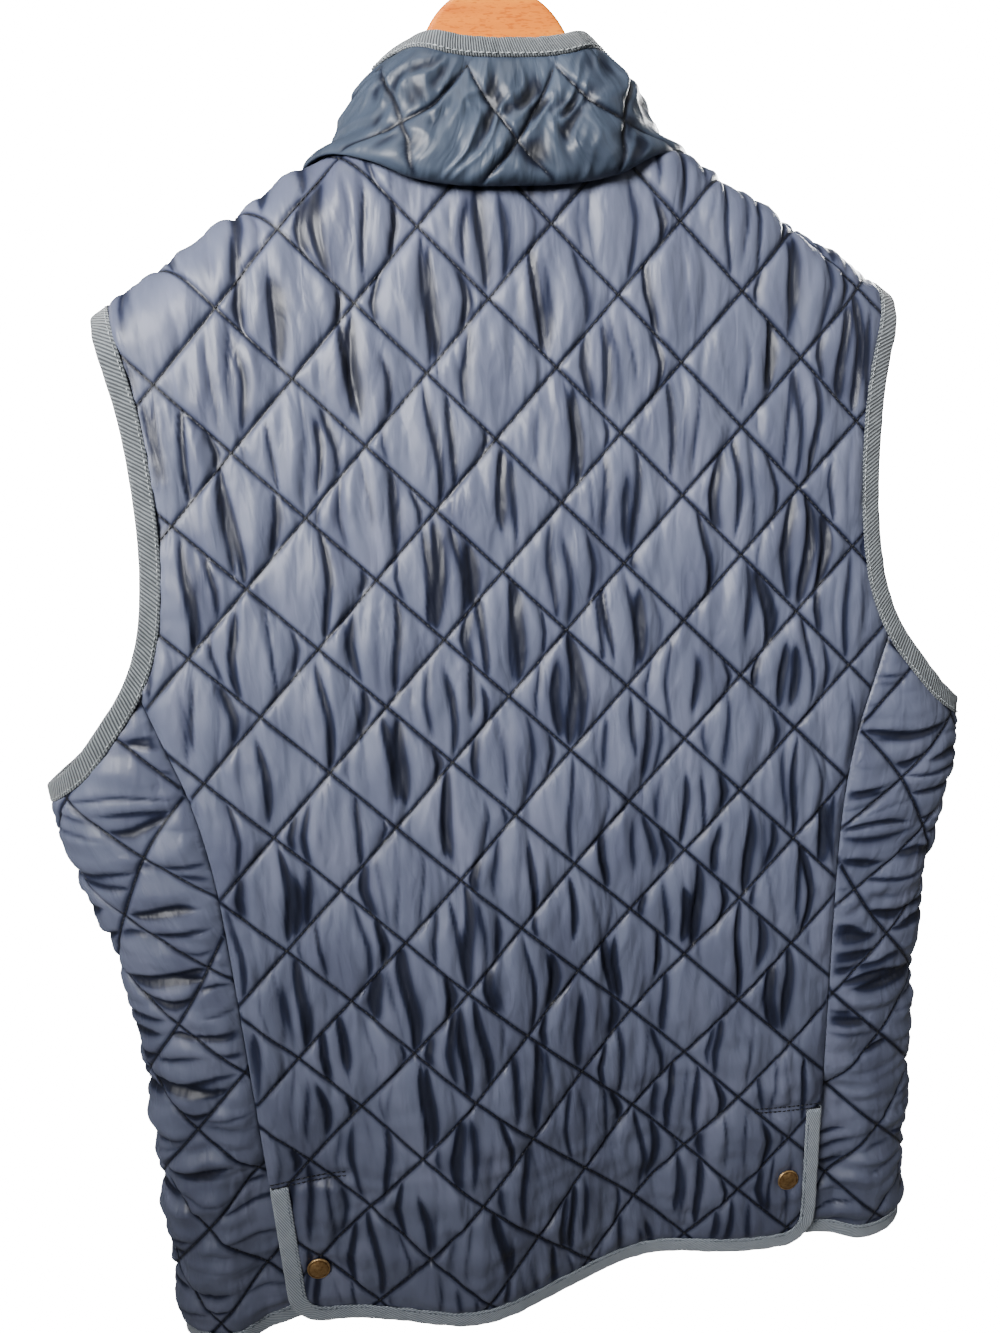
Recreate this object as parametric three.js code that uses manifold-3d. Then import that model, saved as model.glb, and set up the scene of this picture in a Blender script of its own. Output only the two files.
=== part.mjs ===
// A diamond-quilted vest on a plain wooden hanger, with corduroy binding and press studs.
//
// Every length is in millimetres. While the pieces are made, heights are measured from the underarm
// line, depths from the middle of the back, and x runs to the wearer's left. The last group then
// moves everything so that the seat of the hook is the origin, +Z is up and the front faces -Y.

import * as THREE from "three";
import { mergeVertices } from "three/addons/utils/BufferGeometryUtils.js";
import Module from "manifold-3d";

const wasm = await Module();
wasm.setup();

// Quilted cloth
const DIAMOND_HALF_WIDTH = 35.4;
const DIAMOND_HALF_HEIGHT = 36.4;
const CELLS_OUTSIDE = 3; // grid cells along one side of a diamond, outside and inside the wall
const CELLS_INSIDE = 2;
const WALL = 2.6; // stitched flat at the quilting lines
const PAD = 3.6; // how far a diamond stands above its lines
const SEAM_GAP = 0.4;

// Binding
const BAND = 11;
const BAND_PROUD = 1.2;
const BAND_STEP = 15;

// Body, hung flat on its hanger
const MIDDLE = -36; // depth of the plane that the hanger lies in
const BOW = 8; // how much the panels curve away between centre and side
const SHOULDER_SLOPE = 0.6;
const NECK_HALF = 102;
const NECK_SIDE_HEIGHT = 340;
const NECK_BACK = 326;
const NECK_FRONT = 262;
const TIP_HALF = 226;
const VENT_TOP = -258;
const HEM_BACK = -366;
const HEM_FRONT = -384;
const HEM_UNDERLAP = -358; // the hidden end of the underlap is cut higher
const CORNER = 26;
const UNDERLAP = 50; // the part of each side that lies under the back below the vent
const FRONT_LAP = 15; // the left front passes the centre line by this much
const STEP_IN = 9; // how far an underlap lies inside the cloth that covers it
const STEP_RUN = 26;

// Half the width and the whole depth of the hanging body, from the hem up.
const SECTIONS = [
  { height: -420, halfWidth: 259, depth: 82 },
  { height: -345, halfWidth: 261, depth: 82 },
  { height: -205, halfWidth: 260, depth: 80 },
  { height: -130, halfWidth: 263, depth: 78 },
  { height: -65, halfWidth: 275, depth: 77 },
  { height: -20, halfWidth: 284, depth: 76 },
  { height: 40, halfWidth: 286, depth: 74 },
  { height: 420, halfWidth: 286, depth: 72 },
];

// The seam from the armhole down to the vent, measured from the centre back.
const BACK_SEAM = [
  { height: 110, across: 238 },
  { height: 66, across: 223 },
  { height: 37, across: 214 },
  { height: 5, across: 204 },
  { height: -30, across: 197 },
  { height: -70, across: 193 },
  { height: -160, across: 189 },
  { height: -258, across: 185 },
];

// The free edge of the armhole, from the shoulder to its lowest point at the side.
const ARMHOLE_BACK = [
  { across: 222, height: 258 },
  { across: 214, height: 212 },
  { across: 212, height: 165 },
  { across: 214, height: 130 },
  { across: 220, height: 98 },
  { across: 231, height: 72 },
  { across: 247, height: 50 },
  { across: 266, height: 29 },
  { across: 288, height: 16 },
];
const ARMHOLE_FRONT = [
  { across: 223, height: 258 },
  { across: 209, height: 208 },
  { across: 202, height: 165 },
  { across: 204, height: 128 },
  { across: 212, height: 94 },
  { across: 226, height: 66 },
  { across: 246, height: 43 },
  { across: 270, height: 25 },
  { across: 290, height: 15 },
];
const ARMHOLE_LOWEST = 12;

// The largest folds of the hanging cloth: how far each stands out at the hem.
const FOLDS = [
  { side: "back", across: 58, spread: 48, out: 17 },
  { side: "back", across: -64, spread: 50, out: -16 },
  { side: "back", across: 150, spread: 30, out: -4 },
  { side: "front", across: 118, spread: 46, out: 9 },
  { side: "front", across: -112, spread: 50, out: 8 },
  { side: "front", across: -190, spread: 30, out: -6 },
];
// The wearer's left side hangs a little closer in than the right.
const SQUEEZE = 8;
const FOLD_START = 80;
const FOLD_RUN = 440;

// The collar's cross-section, measured from the outer edge of the neckline: out and up, round the
// neck and at its two thin front ends, and how much of the quilting it takes.
const COLLAR_SECTION = [
  { out: -6.2, up: 0, endOut: -6.2, endUp: 0, soft: 0 },
  { out: 0, up: 0, endOut: -1.4, endUp: 0, soft: 0 },
  { out: 1.3, up: -4.5, endOut: -0.8, endUp: 0.3, soft: 0 },
  { out: 3.6, up: -6, endOut: -0.2, endUp: 0.9, soft: 0.2 },
  { out: 7, up: -2, endOut: 0.1, endUp: 2.5, soft: 0.7 },
  { out: 8, up: 9, endOut: 0.3, endUp: 10, soft: 1 },
  { out: 6, up: 22, endOut: 0.3, endUp: 22, soft: 1 },
  { out: 2, up: 36, endOut: 0.2, endUp: 36, soft: 1 },
  { out: -1.2, up: 52, endOut: -1.2, endUp: 52, soft: 0 },
  { out: -5.7, up: 52, endOut: -5.7, endUp: 52, soft: 0 },
  { out: -3.5, up: 36, endOut: -5.8, endUp: 36, soft: 0 },
  { out: -3.8, up: 20, endOut: -5.9, endUp: 20, soft: 0 },
  { out: -5.5, up: 6, endOut: -6.1, endUp: 6, soft: 0 },
];
const COLLAR_END_RUN = 55;
const COLLAR_TOP = 64;
const COLLAR_SETTLE = 14; // above this height the collar stands upright, below it follows the panels
// How far the collar leans in at the side of the neck, by height.
const COLLAR_LEAN = [
  { height: -10, lean: 0 },
  { height: 0, lean: 2 },
  { height: 9, lean: 14 },
  { height: 22, lean: 25 },
  { height: 36, lean: 28 },
  { height: 54, lean: 36 },
  { height: 66, lean: 46 },
];

// Press studs
const STUD_RADIUS = 7.5;
const STUD_RISE = 2.4;
const VENT_STUDS = [
  { name: "vent_stud_left", across: 160, height: -323 },
  { name: "vent_stud_right", across: -160, height: -311 },
];
const FRONT_STUDS = 6;
const FRONT_STUD_TOP = 232;
const FRONT_STUD_BOTTOM = -345;

// Wooden hanger and its hook
const HANGER_THICK = 12;
const HANGER_ROUND = 5;
const HANGER_END = 208;
const ARM_HEIGHT = 24;
const DOME_HEIGHT = 387;
const DOME_RADIUS = 43;
const SEAT_GAP = 1;
const WIRE_RADIUS = 2;
const HOOK_RADIUS = 21;
const HOOK_STEM = 34;
const STEM_DEPTH = 16;
const SEAT_HEIGHT = DOME_HEIGHT + DOME_RADIUS + HOOK_STEM + 2 * HOOK_RADIUS - WIRE_RADIUS;

const COLOURS = {
  quilt: { color: 0x4d5c75, roughness: 0.5, metalness: 0 },
  binding: { color: 0x78858f, roughness: 0.95, metalness: 0 },
  stud: { color: 0x6e5a3a, roughness: 0.35, metalness: 1 },
  wood: { color: 0xd9924a, roughness: 0.45, metalness: 0 },
  steel: { color: 0xb9bcc0, roughness: 0.25, metalness: 1 },
};

const clamp = THREE.MathUtils.clamp;
const ease = (t) => THREE.MathUtils.smoothstep(t, 0, 1);

// A value from a table, smooth through its rows.
function fromTable(rows, key, at, column) {
  const rising = rows[0][key] < rows[rows.length - 1][key] ? rows : [...rows].reverse();
  const last = rising.length - 1;
  const x = clamp(at, rising[0][key], rising[last][key]);
  let i = 0;
  while (i < last - 1 && rising[i + 1][key] < x) i++;
  const slope = (k) => {
    const a = rising[Math.max(k - 1, 0)];
    const b = rising[Math.min(k + 1, last)];
    return (b[column] - a[column]) / (b[key] - a[key]);
  };
  const span = rising[i + 1][key] - rising[i][key];
  const t = (x - rising[i][key]) / span;
  const [p, q] = [rising[i][column], rising[i + 1][column]];
  const [m, n] = [slope(i) * span, slope(i + 1) * span];
  return (
    (2 * t ** 3 - 3 * t ** 2 + 1) * p +
    (t ** 3 - 2 * t ** 2 + t) * m +
    (-2 * t ** 3 + 3 * t ** 2) * q +
    (t ** 3 - t ** 2) * n
  );
}

// The turn round a side, for a cloth length of 1: its heading eases from outward to inward.
const TURN = (() => {
  const steps = 80;
  const out = [0];
  const away = [0];
  for (let i = 0; i < steps; i++) {
    const heading = Math.PI * ease((i + 0.5) / steps);
    out.push(out[i] + Math.cos(heading) / steps);
    away.push(away[i] + Math.sin(heading) / steps);
  }
  const read = (list, t) => {
    const k = Math.min(Math.floor(t * steps), steps - 1);
    return THREE.MathUtils.lerp(list[k], list[k + 1], t * steps - k);
  };
  return { out: (t) => read(out, t), away: (t) => read(away, t), reach: out[steps / 2], depth: away[steps] };
})();

// The section of the body at one height: its half width, depth, flat part and side turn.
function section(height) {
  const halfWidth = fromTable(SECTIONS, "height", height, "halfWidth");
  const depth = fromTable(SECTIONS, "height", height, "depth");
  const turn = depth / TURN.depth;
  const flat = halfWidth - turn * TURN.reach;
  return { halfWidth, depth, turn, flat, around: 2 * flat + turn };
}

const halfDepth = (ring, x) => ring.depth / 2 - BOW * (x / ring.halfWidth) ** 2;
const shoulderLine = (x) => NECK_SIDE_HEIGHT - SHOULDER_SLOPE * (x - NECK_HALF);

// Where the shoulder seam lies in the cloth, with the length that rolls over the shoulder.
function shoulderSeam(across) {
  const half = halfDepth(section(NECK_SIDE_HEIGHT), across);
  return shoulderLine(across) + half * (Math.PI / 2 - 1);
}

// One point of the plain cloth. across is the cloth's own distance from the centre of its face, round
// the side and on if it is long enough, and up is its height, with the roll over the shoulder.
function clothPoint(face, across, up) {
  const ring = section(up);
  const s = Math.abs(across);
  const t = clamp((s - ring.flat) / ring.turn, 0, 1);
  const beyond = Math.max(s - ring.flat - ring.turn, 0);
  const x = Math.min(s, ring.flat) + ring.turn * TURN.out(t) - beyond;
  const way = 1 - (2 * TURN.away(t)) / TURN.depth;
  const half = halfDepth(ring, x);
  const start = shoulderLine(x) - half;
  const angle = clamp((up - start) / half, 0, Math.PI / 2);
  const z = up < start ? up : start + half * Math.sin(angle);
  const y = MIDDLE + face * way * half * Math.cos(angle);
  return { point: new THREE.Vector3(Math.sign(across || 1) * x, y, z), way: face * way };
}

// How far the hanging folds push the cloth out at a place.
function foldAt(x, z, way) {
  const hang = ease((FOLD_START - z) / FOLD_RUN);
  const side = way > 0 ? "back" : "front";
  let out = 0;
  for (const fold of FOLDS) {
    if (fold.side === side) out += fold.out * Math.exp(-(((x - fold.across) / fold.spread) ** 2));
  }
  return out * hang * Math.abs(way);
}

// A point at a height above the inner face of the cloth, folds included.
function onCloth(face, across, up, height) {
  const step = 0.5;
  const { point, way } = clothPoint(face, across, up);
  const alongAcross = clothPoint(face, across + step, up).point.sub(clothPoint(face, across - step, up).point);
  const alongUp = clothPoint(face, across, up + step).point.sub(clothPoint(face, across, up - step).point);
  const outward = alongUp.cross(alongAcross).normalize().multiplyScalar(face);
  const closer = SQUEEZE * ease((point.x - 195) / 75) * ease((60 - point.z) / 170);
  point.addScaledVector(outward, height + foldAt(point.x, point.z, way));
  return point.setX(point.x - closer);
}

// Solids and meshes
function solid(geometry) {
  const bare = geometry.clone();
  for (const name of Object.keys(bare.attributes)) if (name !== "position") bare.deleteAttribute(name);
  const merged = mergeVertices(bare, 1e-4);
  return new wasm.Manifold(
    new wasm.Mesh({
      numProp: 3,
      vertProperties: merged.attributes.position.array,
      triVerts: new Uint32Array(merged.index.array),
    }),
  );
}

function geometryOf(points, triangles) {
  const geometry = new THREE.BufferGeometry();
  geometry.setAttribute("position", new THREE.Float32BufferAttribute(points.flatMap((p) => [p.x, p.y, p.z]), 3));
  geometry.setIndex(triangles.flat());
  geometry.computeVertexNormals();
  return geometry;
}

function piece(name, geometry, finish) {
  const mesh = new THREE.Mesh(geometry, new THREE.MeshStandardMaterial({ ...COLOURS[finish], flatShading: true }));
  mesh.name = name;
  return mesh;
}

// Sections joined into a closed skin. Each section is a list of points; a loop joins the last to the
// first, and an open run gets a flat cap at each end.
function skin(sections, loop, flip) {
  const count = sections[0].length;
  const triangles = [];
  const add = (a, b, c) => triangles.push(flip ? [a, c, b] : [a, b, c]);
  const runs = loop ? sections.length : sections.length - 1;
  for (let i = 0; i < runs; i++) {
    const next = (i + 1) % sections.length;
    for (let k = 0; k < count; k++) {
      const [a, b] = [i * count + k, i * count + ((k + 1) % count)];
      const [c, d] = [next * count + k, next * count + ((k + 1) % count)];
      add(a, b, c);
      add(b, d, c);
    }
  }
  if (!loop) {
    const first = THREE.ShapeUtils.triangulateShape(flatSection(sections[0]), []);
    const last = (sections.length - 1) * count;
    for (const [a, b, c] of first) {
      add(a, c, b);
      add(last + a, last + b, last + c);
    }
  }
  return geometryOf(sections.flat(), triangles);
}

// The corners of a section seen along its run, anticlockwise, to triangulate its caps.
function flatSection(points) {
  const normal = new THREE.Vector3();
  points.forEach((p, i) => normal.add(new THREE.Vector3().crossVectors(p, points[(i + 1) % points.length])));
  const across = new THREE.Vector3().subVectors(points[1], points[0]).normalize();
  const up = new THREE.Vector3().crossVectors(normal.normalize(), across);
  return points.map((p) => new THREE.Vector2(p.dot(across), p.dot(up)));
}

// Cutting cloth. A block of quilting is built in the flat, over a slight dome that keeps its grid
// whole when it is cut, then trimmed to a pattern piece and laid on the body.
const DOME = 1.5e-5;
const DOME_CENTRE = -20;
const domeAt = (across, up) => DOME * (across ** 2 + (up - DOME_CENTRE) ** 2);

function padAt(origin, across, up) {
  const a = (across - origin.across) / DIAMOND_HALF_WIDTH;
  const b = (up - origin.height) / DIAMOND_HALF_HEIGHT;
  const ripple = Math.abs(Math.sin((Math.PI * (a + b)) / 2) * Math.sin((Math.PI * (a - b)) / 2));
  return PAD * Math.sqrt(ripple);
}

// Everything under a height, over a square of diamonds that covers the pattern piece.
function blockUnder(pattern, origin, cells, bottom, heightAt) {
  const corners = pattern.map(([x, y]) => [(x - origin.across) / DIAMOND_HALF_WIDTH, (y - origin.height) / DIAMOND_HALF_HEIGHT]);
  const bounds = (values) => [Math.floor(Math.min(...values)) - 1, Math.ceil(Math.max(...values)) + 1];
  const [rowLow, rowHigh] = bounds(corners.map(([a, b]) => (a + b) / 2));
  const [colLow, colHigh] = bounds(corners.map(([a, b]) => (a - b) / 2));
  const rows = (rowHigh - rowLow) * cells;
  const cols = (colHigh - colLow) * cells;
  const points = [];
  for (const top of [true, false]) {
    for (let i = 0; i <= rows; i++) {
      for (let j = 0; j <= cols; j++) {
        const [r, c] = [rowLow + i / cells, colLow + j / cells];
        const across = origin.across + (r + c) * DIAMOND_HALF_WIDTH;
        const up = origin.height + (r - c) * DIAMOND_HALF_HEIGHT;
        points.push(new THREE.Vector3(across, up, top ? heightAt(across, up) + domeAt(across, up) : bottom));
      }
    }
  }
  const at = (i, j) => i * (cols + 1) + j;
  const under = (rows + 1) * (cols + 1);
  const triangles = [];
  for (let i = 0; i < rows; i++) {
    for (let j = 0; j < cols; j++) {
      const [a, b, c, d] = [at(i, j), at(i + 1, j), at(i + 1, j + 1), at(i, j + 1)];
      triangles.push([a, c, b], [a, d, c], [under + a, under + b, under + c], [under + a, under + c, under + d]);
    }
  }
  const wall = (a, b) => triangles.push([a, b, under + b], [a, under + b, under + a]);
  for (let i = 0; i < rows; i++) {
    wall(at(i, 0), at(i + 1, 0));
    wall(at(i + 1, cols), at(i, cols));
  }
  for (let j = 0; j < cols; j++) {
    wall(at(0, j + 1), at(0, j));
    wall(at(rows, j), at(rows, j + 1));
  }
  return solid(geometryOf(points, triangles));
}

function prism(outline, from, to) {
  const shape = new THREE.Shape(outline.map(([x, y]) => new THREE.Vector2(x, y)));
  const body = new THREE.ExtrudeGeometry(shape, { depth: to - from, bevelEnabled: false });
  return solid(body.translate(0, 0, from));
}

// A quilted panel: cut from the block, with holes taken out, and studs pressed in, then laid on the
// body. lay gives how far the panel steps in under another one.
function cutPanel({ face, outline, origin, without, studs, lay }) {
  const block = (cells, bottom, heightAt) => blockUnder(outline, origin, cells, bottom, heightAt);
  let cut = block(CELLS_OUTSIDE, -120, (x, y) => WALL + padAt(origin, x, y)).intersect(prism(outline, -100, 300));
  cut = cut.subtract(block(CELLS_INSIDE, -140, () => 0));
  for (const hole of without) cut = cut.subtract(prism(hole, -130, 320));
  for (const stud of studs) {
    const well = new THREE.CylinderGeometry(STUD_RADIUS + 1, STUD_RADIUS + 1, 60, 10).rotateX(Math.PI / 2);
    const floor = domeAt(stud.across, stud.height) + WALL;
    cut = cut.subtract(solid(well.translate(stud.across, stud.height, floor + 30)));
  }
  const { vertProperties, triVerts, numProp } = cut.getMesh();
  const points = [];
  for (let i = 0; i < vertProperties.length; i += numProp) {
    const [across, up, level] = vertProperties.slice(i, i + 3);
    points.push(onCloth(face, across, up, level - domeAt(across, up) + lay(across, up)));
  }
  const triangles = [];
  for (let i = 0; i < triVerts.length; i += 3) {
    const [a, b, c] = triVerts.slice(i, i + 3);
    triangles.push(face > 0 ? [a, c, b] : [a, b, c]);
  }
  return geometryOf(points, triangles);
}

// Outlines, as lists of [across, up]
function curve(rows, steps) {
  const spline = new THREE.SplineCurve(rows.map((row) => new THREE.Vector2(row.across, row.height)));
  return spline.getSpacedPoints(steps).map((p) => [p.x, p.y]);
}

const mirrored = (points) => points.map(([x, y]) => [-x, y]).reverse();

// The same run moved to its left by a distance.
function moved(points, distance, loop = false) {
  const last = points.length - 1;
  return points.map(([x, y], i) => {
    const before = points[loop ? (i + last) % (last + 1) : Math.max(i - 1, 0)];
    const after = points[loop ? (i + 1) % (last + 1) : Math.min(i + 1, last)];
    const along = new THREE.Vector2(after[0] - before[0], after[1] - before[1]).normalize();
    return [x - along.y * distance, y + along.x * distance];
  });
}

// The free edge of an armhole, from the back of the shoulder, under the arm, to its front. Each half
// is in the cloth of its own face.
function armholeHalves() {
  const tip = { across: TIP_HALF, height: shoulderSeam(TIP_HALF) };
  const lowest = { across: section(ARMHOLE_LOWEST).around / 2, height: ARMHOLE_LOWEST };
  const steps = Math.round(330 / BAND_STEP);
  return {
    back: curve([tip, ...ARMHOLE_BACK, lowest], steps),
    front: curve([tip, ...ARMHOLE_FRONT, lowest], steps),
  };
}

// The same place in the cloth measured from the other centre line.
const fromOtherSide = ([across, up]) => [section(up).around - across, up];

// The whole armhole in one face's cloth, wider all round by the binding.
function armholeHole(face) {
  const { back, front } = armholeHalves();
  const [near, far] = face > 0 ? [back, front] : [front, back];
  const above = (run) => [run[0][0], run[0][1] + 60];
  const loop = [above(near), ...near, ...far.slice(0, -1).reverse().map(fromOtherSide), fromOtherSide(above(far))];
  return moved(loop, -(BAND + SEAM_GAP + 0.2), true);
}

const backNeckRise = (t) => t ** 3;
const frontNeckRise = (t) => 1 - Math.sqrt(1 - (0.985 * t) ** 2) * (1 - 0.15 * t);

// The neckline of one face, from its centre to the shoulder, evenly spaced along its curve.
function neckline(face) {
  const steps = 9;
  const [low, rise] = face > 0 ? [NECK_BACK, backNeckRise] : [NECK_FRONT, frontNeckRise];
  const side = shoulderSeam(NECK_HALF) - SEAM_GAP / 2;
  return Array.from({ length: steps + 1 }, (_, i) => {
    const t = face > 0 ? i / steps : Math.sin((Math.PI * i) / steps / 2);
    return [NECK_HALF * t, low + (side - low) * rise(t)];
  });
}

function shoulderRun(to) {
  const points = [];
  const steps = 7;
  for (let i = 0; i <= steps; i++) {
    const across = NECK_HALF + ((to - NECK_HALF) * i) / steps;
    points.push([across, shoulderSeam(across) - SEAM_GAP / 2]);
  }
  return points;
}

const seamAcross = (height) => fromTable(BACK_SEAM, "height", height, "across");

function seamRun() {
  const points = [];
  const steps = 17;
  for (let i = 0; i <= steps; i++) {
    const height = 104 + ((VENT_TOP - 104) * i) / steps;
    points.push([seamAcross(height), height]);
  }
  return points;
}

function roundCorner(x, y, fromAngle, toAngle) {
  const points = [];
  const steps = 6;
  for (let i = 0; i <= steps; i++) {
    const angle = THREE.MathUtils.lerp(fromAngle, toAngle, i / steps);
    points.push([x + CORNER * Math.cos(angle), y + CORNER * Math.sin(angle)]);
  }
  return points;
}

function straight([x0, y0], [x1, y1]) {
  const steps = Math.max(1, Math.round(Math.hypot(x1 - x0, y1 - y0) / (2 * BAND_STEP)));
  return Array.from({ length: steps }, (_, i) => [x0 + ((x1 - x0) * (i + 1)) / (steps + 1), y0 + ((y1 - y0) * (i + 1)) / (steps + 1)]);
}

// The free edge of the back below one vent, from the vent's top to the centre of the hem.
function backHemHalf() {
  const edge = seamAcross(VENT_TOP) - 0.5;
  const top = [edge, VENT_TOP - 1];
  const corner = roundCorner(edge - 3 - CORNER, HEM_BACK + CORNER, 0, -Math.PI / 2);
  const centre = [0, HEM_BACK];
  return [top, ...straight(top, corner[0]), ...corner, ...straight(corner[corner.length - 1], centre), centre];
}

// The free edge of a front, from its underlap at the vent, along the hem and up to the neck.
function frontEdge() {
  const end = section(HEM_FRONT).around - seamAcross(VENT_TOP) + UNDERLAP;
  const steps = 14;
  const hem = Array.from({ length: steps }, (_, i) => {
    const across = end - ((end - 120) * i) / steps;
    return [across, THREE.MathUtils.lerp(HEM_FRONT, HEM_UNDERLAP, ((across - 120) / (end - 120)) ** 3)];
  });
  const corner = roundCorner(-FRONT_LAP + CORNER, HEM_FRONT + CORNER, -Math.PI / 2, -Math.PI);
  const top = [-FRONT_LAP, NECK_FRONT - 1];
  const turn = [120, HEM_FRONT];
  return [...hem, turn, ...straight(turn, corner[0]), ...corner, ...straight(corner[corner.length - 1], top), top];
}

function backOutline() {
  const neck = neckline(1);
  const seam = moved(seamRun(), -SEAM_GAP / 2);
  const hem = moved(backHemHalf(), -(BAND + SEAM_GAP));
  const half = [...neck, ...shoulderRun(TIP_HALF + 12).slice(1), ...seam, ...hem.slice(0, -1)];
  return [...half, ...mirrored(half.slice(1))].reverse();
}

function frontOutline() {
  const neck = neckline(-1);
  const inner = moved(frontEdge(), -(BAND + SEAM_GAP)).map(([x, y]) => [x, Math.min(y, NECK_FRONT - 1)]);
  const seam = moved(seamRun(), SEAM_GAP / 2).map(fromOtherSide);
  const under = section(VENT_TOP).around - seamAcross(VENT_TOP) + UNDERLAP;
  const start = [inner[inner.length - 1][0], NECK_FRONT];
  return [start, ...neck, ...shoulderRun(TIP_HALF + 12).slice(1), ...seam, [under, VENT_TOP - 1], ...inner];
}

// A side steps in where it passes under the back, and the right front where it passes under the left.
function ventStep(across, up) {
  const seam = section(up).around - seamAcross(Math.max(up, VENT_TOP));
  return -STEP_IN * ease((across - seam + STEP_RUN + 8) / STEP_RUN) * ease((VENT_TOP + 30 - up) / 26);
}

const lapStep = (across) => -STEP_IN * ease((FRONT_LAP + 8 + STEP_RUN - across) / STEP_RUN);

const layLeft = (across, up) => ventStep(across, up);
const layRight = (across, up) => ventStep(-across, up) + lapStep(-across);

// Binding: a folded band along a free edge. runs are lists of [across, up] in one face's cloth, and
// into says on which side of the run the cloth lies.
const BAND_SECTION = [
  { inward: BAND, height: -BAND_PROUD },
  { inward: 1.5, height: -BAND_PROUD },
  { inward: 0, height: 0 },
  { inward: 0, height: WALL },
  { inward: 1.5, height: WALL + BAND_PROUD },
  { inward: BAND, height: WALL + BAND_PROUD },
];

function bandSections(face, run, into, lay) {
  const rails = BAND_SECTION.map((corner) => moved(run, into * corner.inward));
  return run.map((_, i) =>
    BAND_SECTION.map((corner, k) => {
      const [across, up] = rails[k][i];
      return onCloth(face, across, up, corner.height + lay(across, up));
    }),
  );
}

const flat = () => 0;

function armholeBinding(sideOfBody) {
  const { back, front } = armholeHalves();
  const place = (run) => run.map(([x, y]) => [x * sideOfBody, y]);
  const sections = [
    ...bandSections(1, place(back), -sideOfBody, flat),
    ...bandSections(-1, place(front), -sideOfBody, flat).slice(1, -1).reverse(),
  ];
  return skin(sections, true, sideOfBody > 0);
}

function openBinding(face, run, into, lay) {
  return skin(bandSections(face, run, into, lay), false, face * into < 0);
}

// Collar. Its stations are the corners of the necklines, from the right front end, over the right
// shoulder, round the back to the left front end. Each has the seam's inner and outer edge, and the
// directions that the collar takes there: off the cloth, on up the cloth, and away from the neck.
function neckStations() {
  const [back, front] = [neckline(1), neckline(-1)];
  const ends = [[-FRONT_LAP, NECK_FRONT], [-FRONT_LAP / 2, NECK_FRONT]];
  const half = [...ends, ...front.slice(0, -1)].map((place) => [-1, ...place]);
  const rear = [...back.slice(1, -1), [NECK_HALF, shoulderSeam(NECK_HALF)]].reverse().map((place) => [1, ...place]);
  const side = [...half, ...rear];
  const right = side.map(([face, x, y]) => [face, -x, y, face < 0 ? lapStep(x) : 0]);
  const places = [...right, [1, 0, NECK_BACK, 0], ...side.map((row) => [...row, 0]).reverse()];
  const inner = places.map(([face, x, y, step]) => onCloth(face, x, y, step));
  return places.map(([face, x, y, step], i) => {
    const along = new THREE.Vector3().subVectors(inner[Math.min(i + 1, places.length - 1)], inner[Math.max(i - 1, 0)]);
    const off = onCloth(face, x, y, step + 1).sub(inner[i]);
    const on = new THREE.Vector3().crossVectors(along, off).normalize();
    const outer = onCloth(face, x, y, step + WALL + PAD).addScaledVector(on, 2 * SEAM_GAP);
    const away = new THREE.Vector3(along.y, -along.x, 0).normalize().negate();
    return { inner: inner[i].clone().addScaledVector(on, SEAM_GAP), outer, off, on, away };
  });
}

const NECK = neckStations();
const NECK_RUN = NECK.map((station, i) =>
  NECK.slice(1, i + 1).reduce((sum, at, k) => sum + at.inner.distanceTo(NECK[k].inner), 0),
);

// A corner of the collar: low down it follows the panels, and higher up it stands and leans in.
function collarPoint({ outer, off, on, away }, outFlat, upFlat) {
  const droop = upFlat < 0 ? Math.exp(-(((Math.abs(outer.x) - 80) / 14) ** 2)) : 0;
  const tight = outFlat > 1.5 ? 1 - 0.55 * ease((Math.abs(outer.x) - 82) / 18) * ease((30 - upFlat) / 20) : 1;
  const [out, up] = [outFlat * tight + 2.9 * droop, upFlat * (1 + 1.5 * droop)];
  const upright = ease(up / COLLAR_SETTLE);
  const besideNeck = ease((Math.abs(outer.x) - 30) / 62);
  const point = outer.clone();
  point.addScaledVector(off.clone().lerp(away, upright), out);
  point.addScaledVector(on.clone().lerp(new THREE.Vector3(0, 0, 1), upright), up);
  point.x -= Math.sign(outer.x) * fromTable(COLLAR_LEAN, "height", up, "lean") * besideNeck;
  point.z -= 0.2 * Math.max(up, 0) * besideNeck;
  return point;
}

function collar() {
  const length = NECK_RUN[NECK_RUN.length - 1];
  const sections = NECK.map((station, i) => {
    const fromEnd = Math.min(NECK_RUN[i], length - NECK_RUN[i]);
    const full = ease(fromEnd / COLLAR_END_RUN);
    return COLLAR_SECTION.map((corner) => {
      const out = THREE.MathUtils.lerp(corner.endOut, corner.out, full);
      const up = THREE.MathUtils.lerp(corner.endUp, corner.up, full);
      const along = (NECK_RUN[i] - length / 2) / DIAMOND_HALF_WIDTH;
      const rise = (up - 14) / DIAMOND_HALF_HEIGHT;
      const ripple = Math.sin((Math.PI * (along + rise)) / 2) * Math.sin((Math.PI * (along - rise)) / 2);
      return collarPoint(station, out + corner.soft * full * PAD * 0.8 * Math.sqrt(Math.abs(ripple)), up);
    });
  });
  return skin(sections, false, false);
}

function collarBinding() {
  const [low, high] = [53.7, COLLAR_TOP];
  const ring = [
    [-6.8, low],
    [0.2, low],
    [-0.6, high - 1.5],
    [-2, high],
    [-6.2, high],
    [-7.2, high - 1.5],
  ];
  return skin(NECK.map((station) => ring.map(([out, up]) => collarPoint(station, out, up))), false, false);
}

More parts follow.
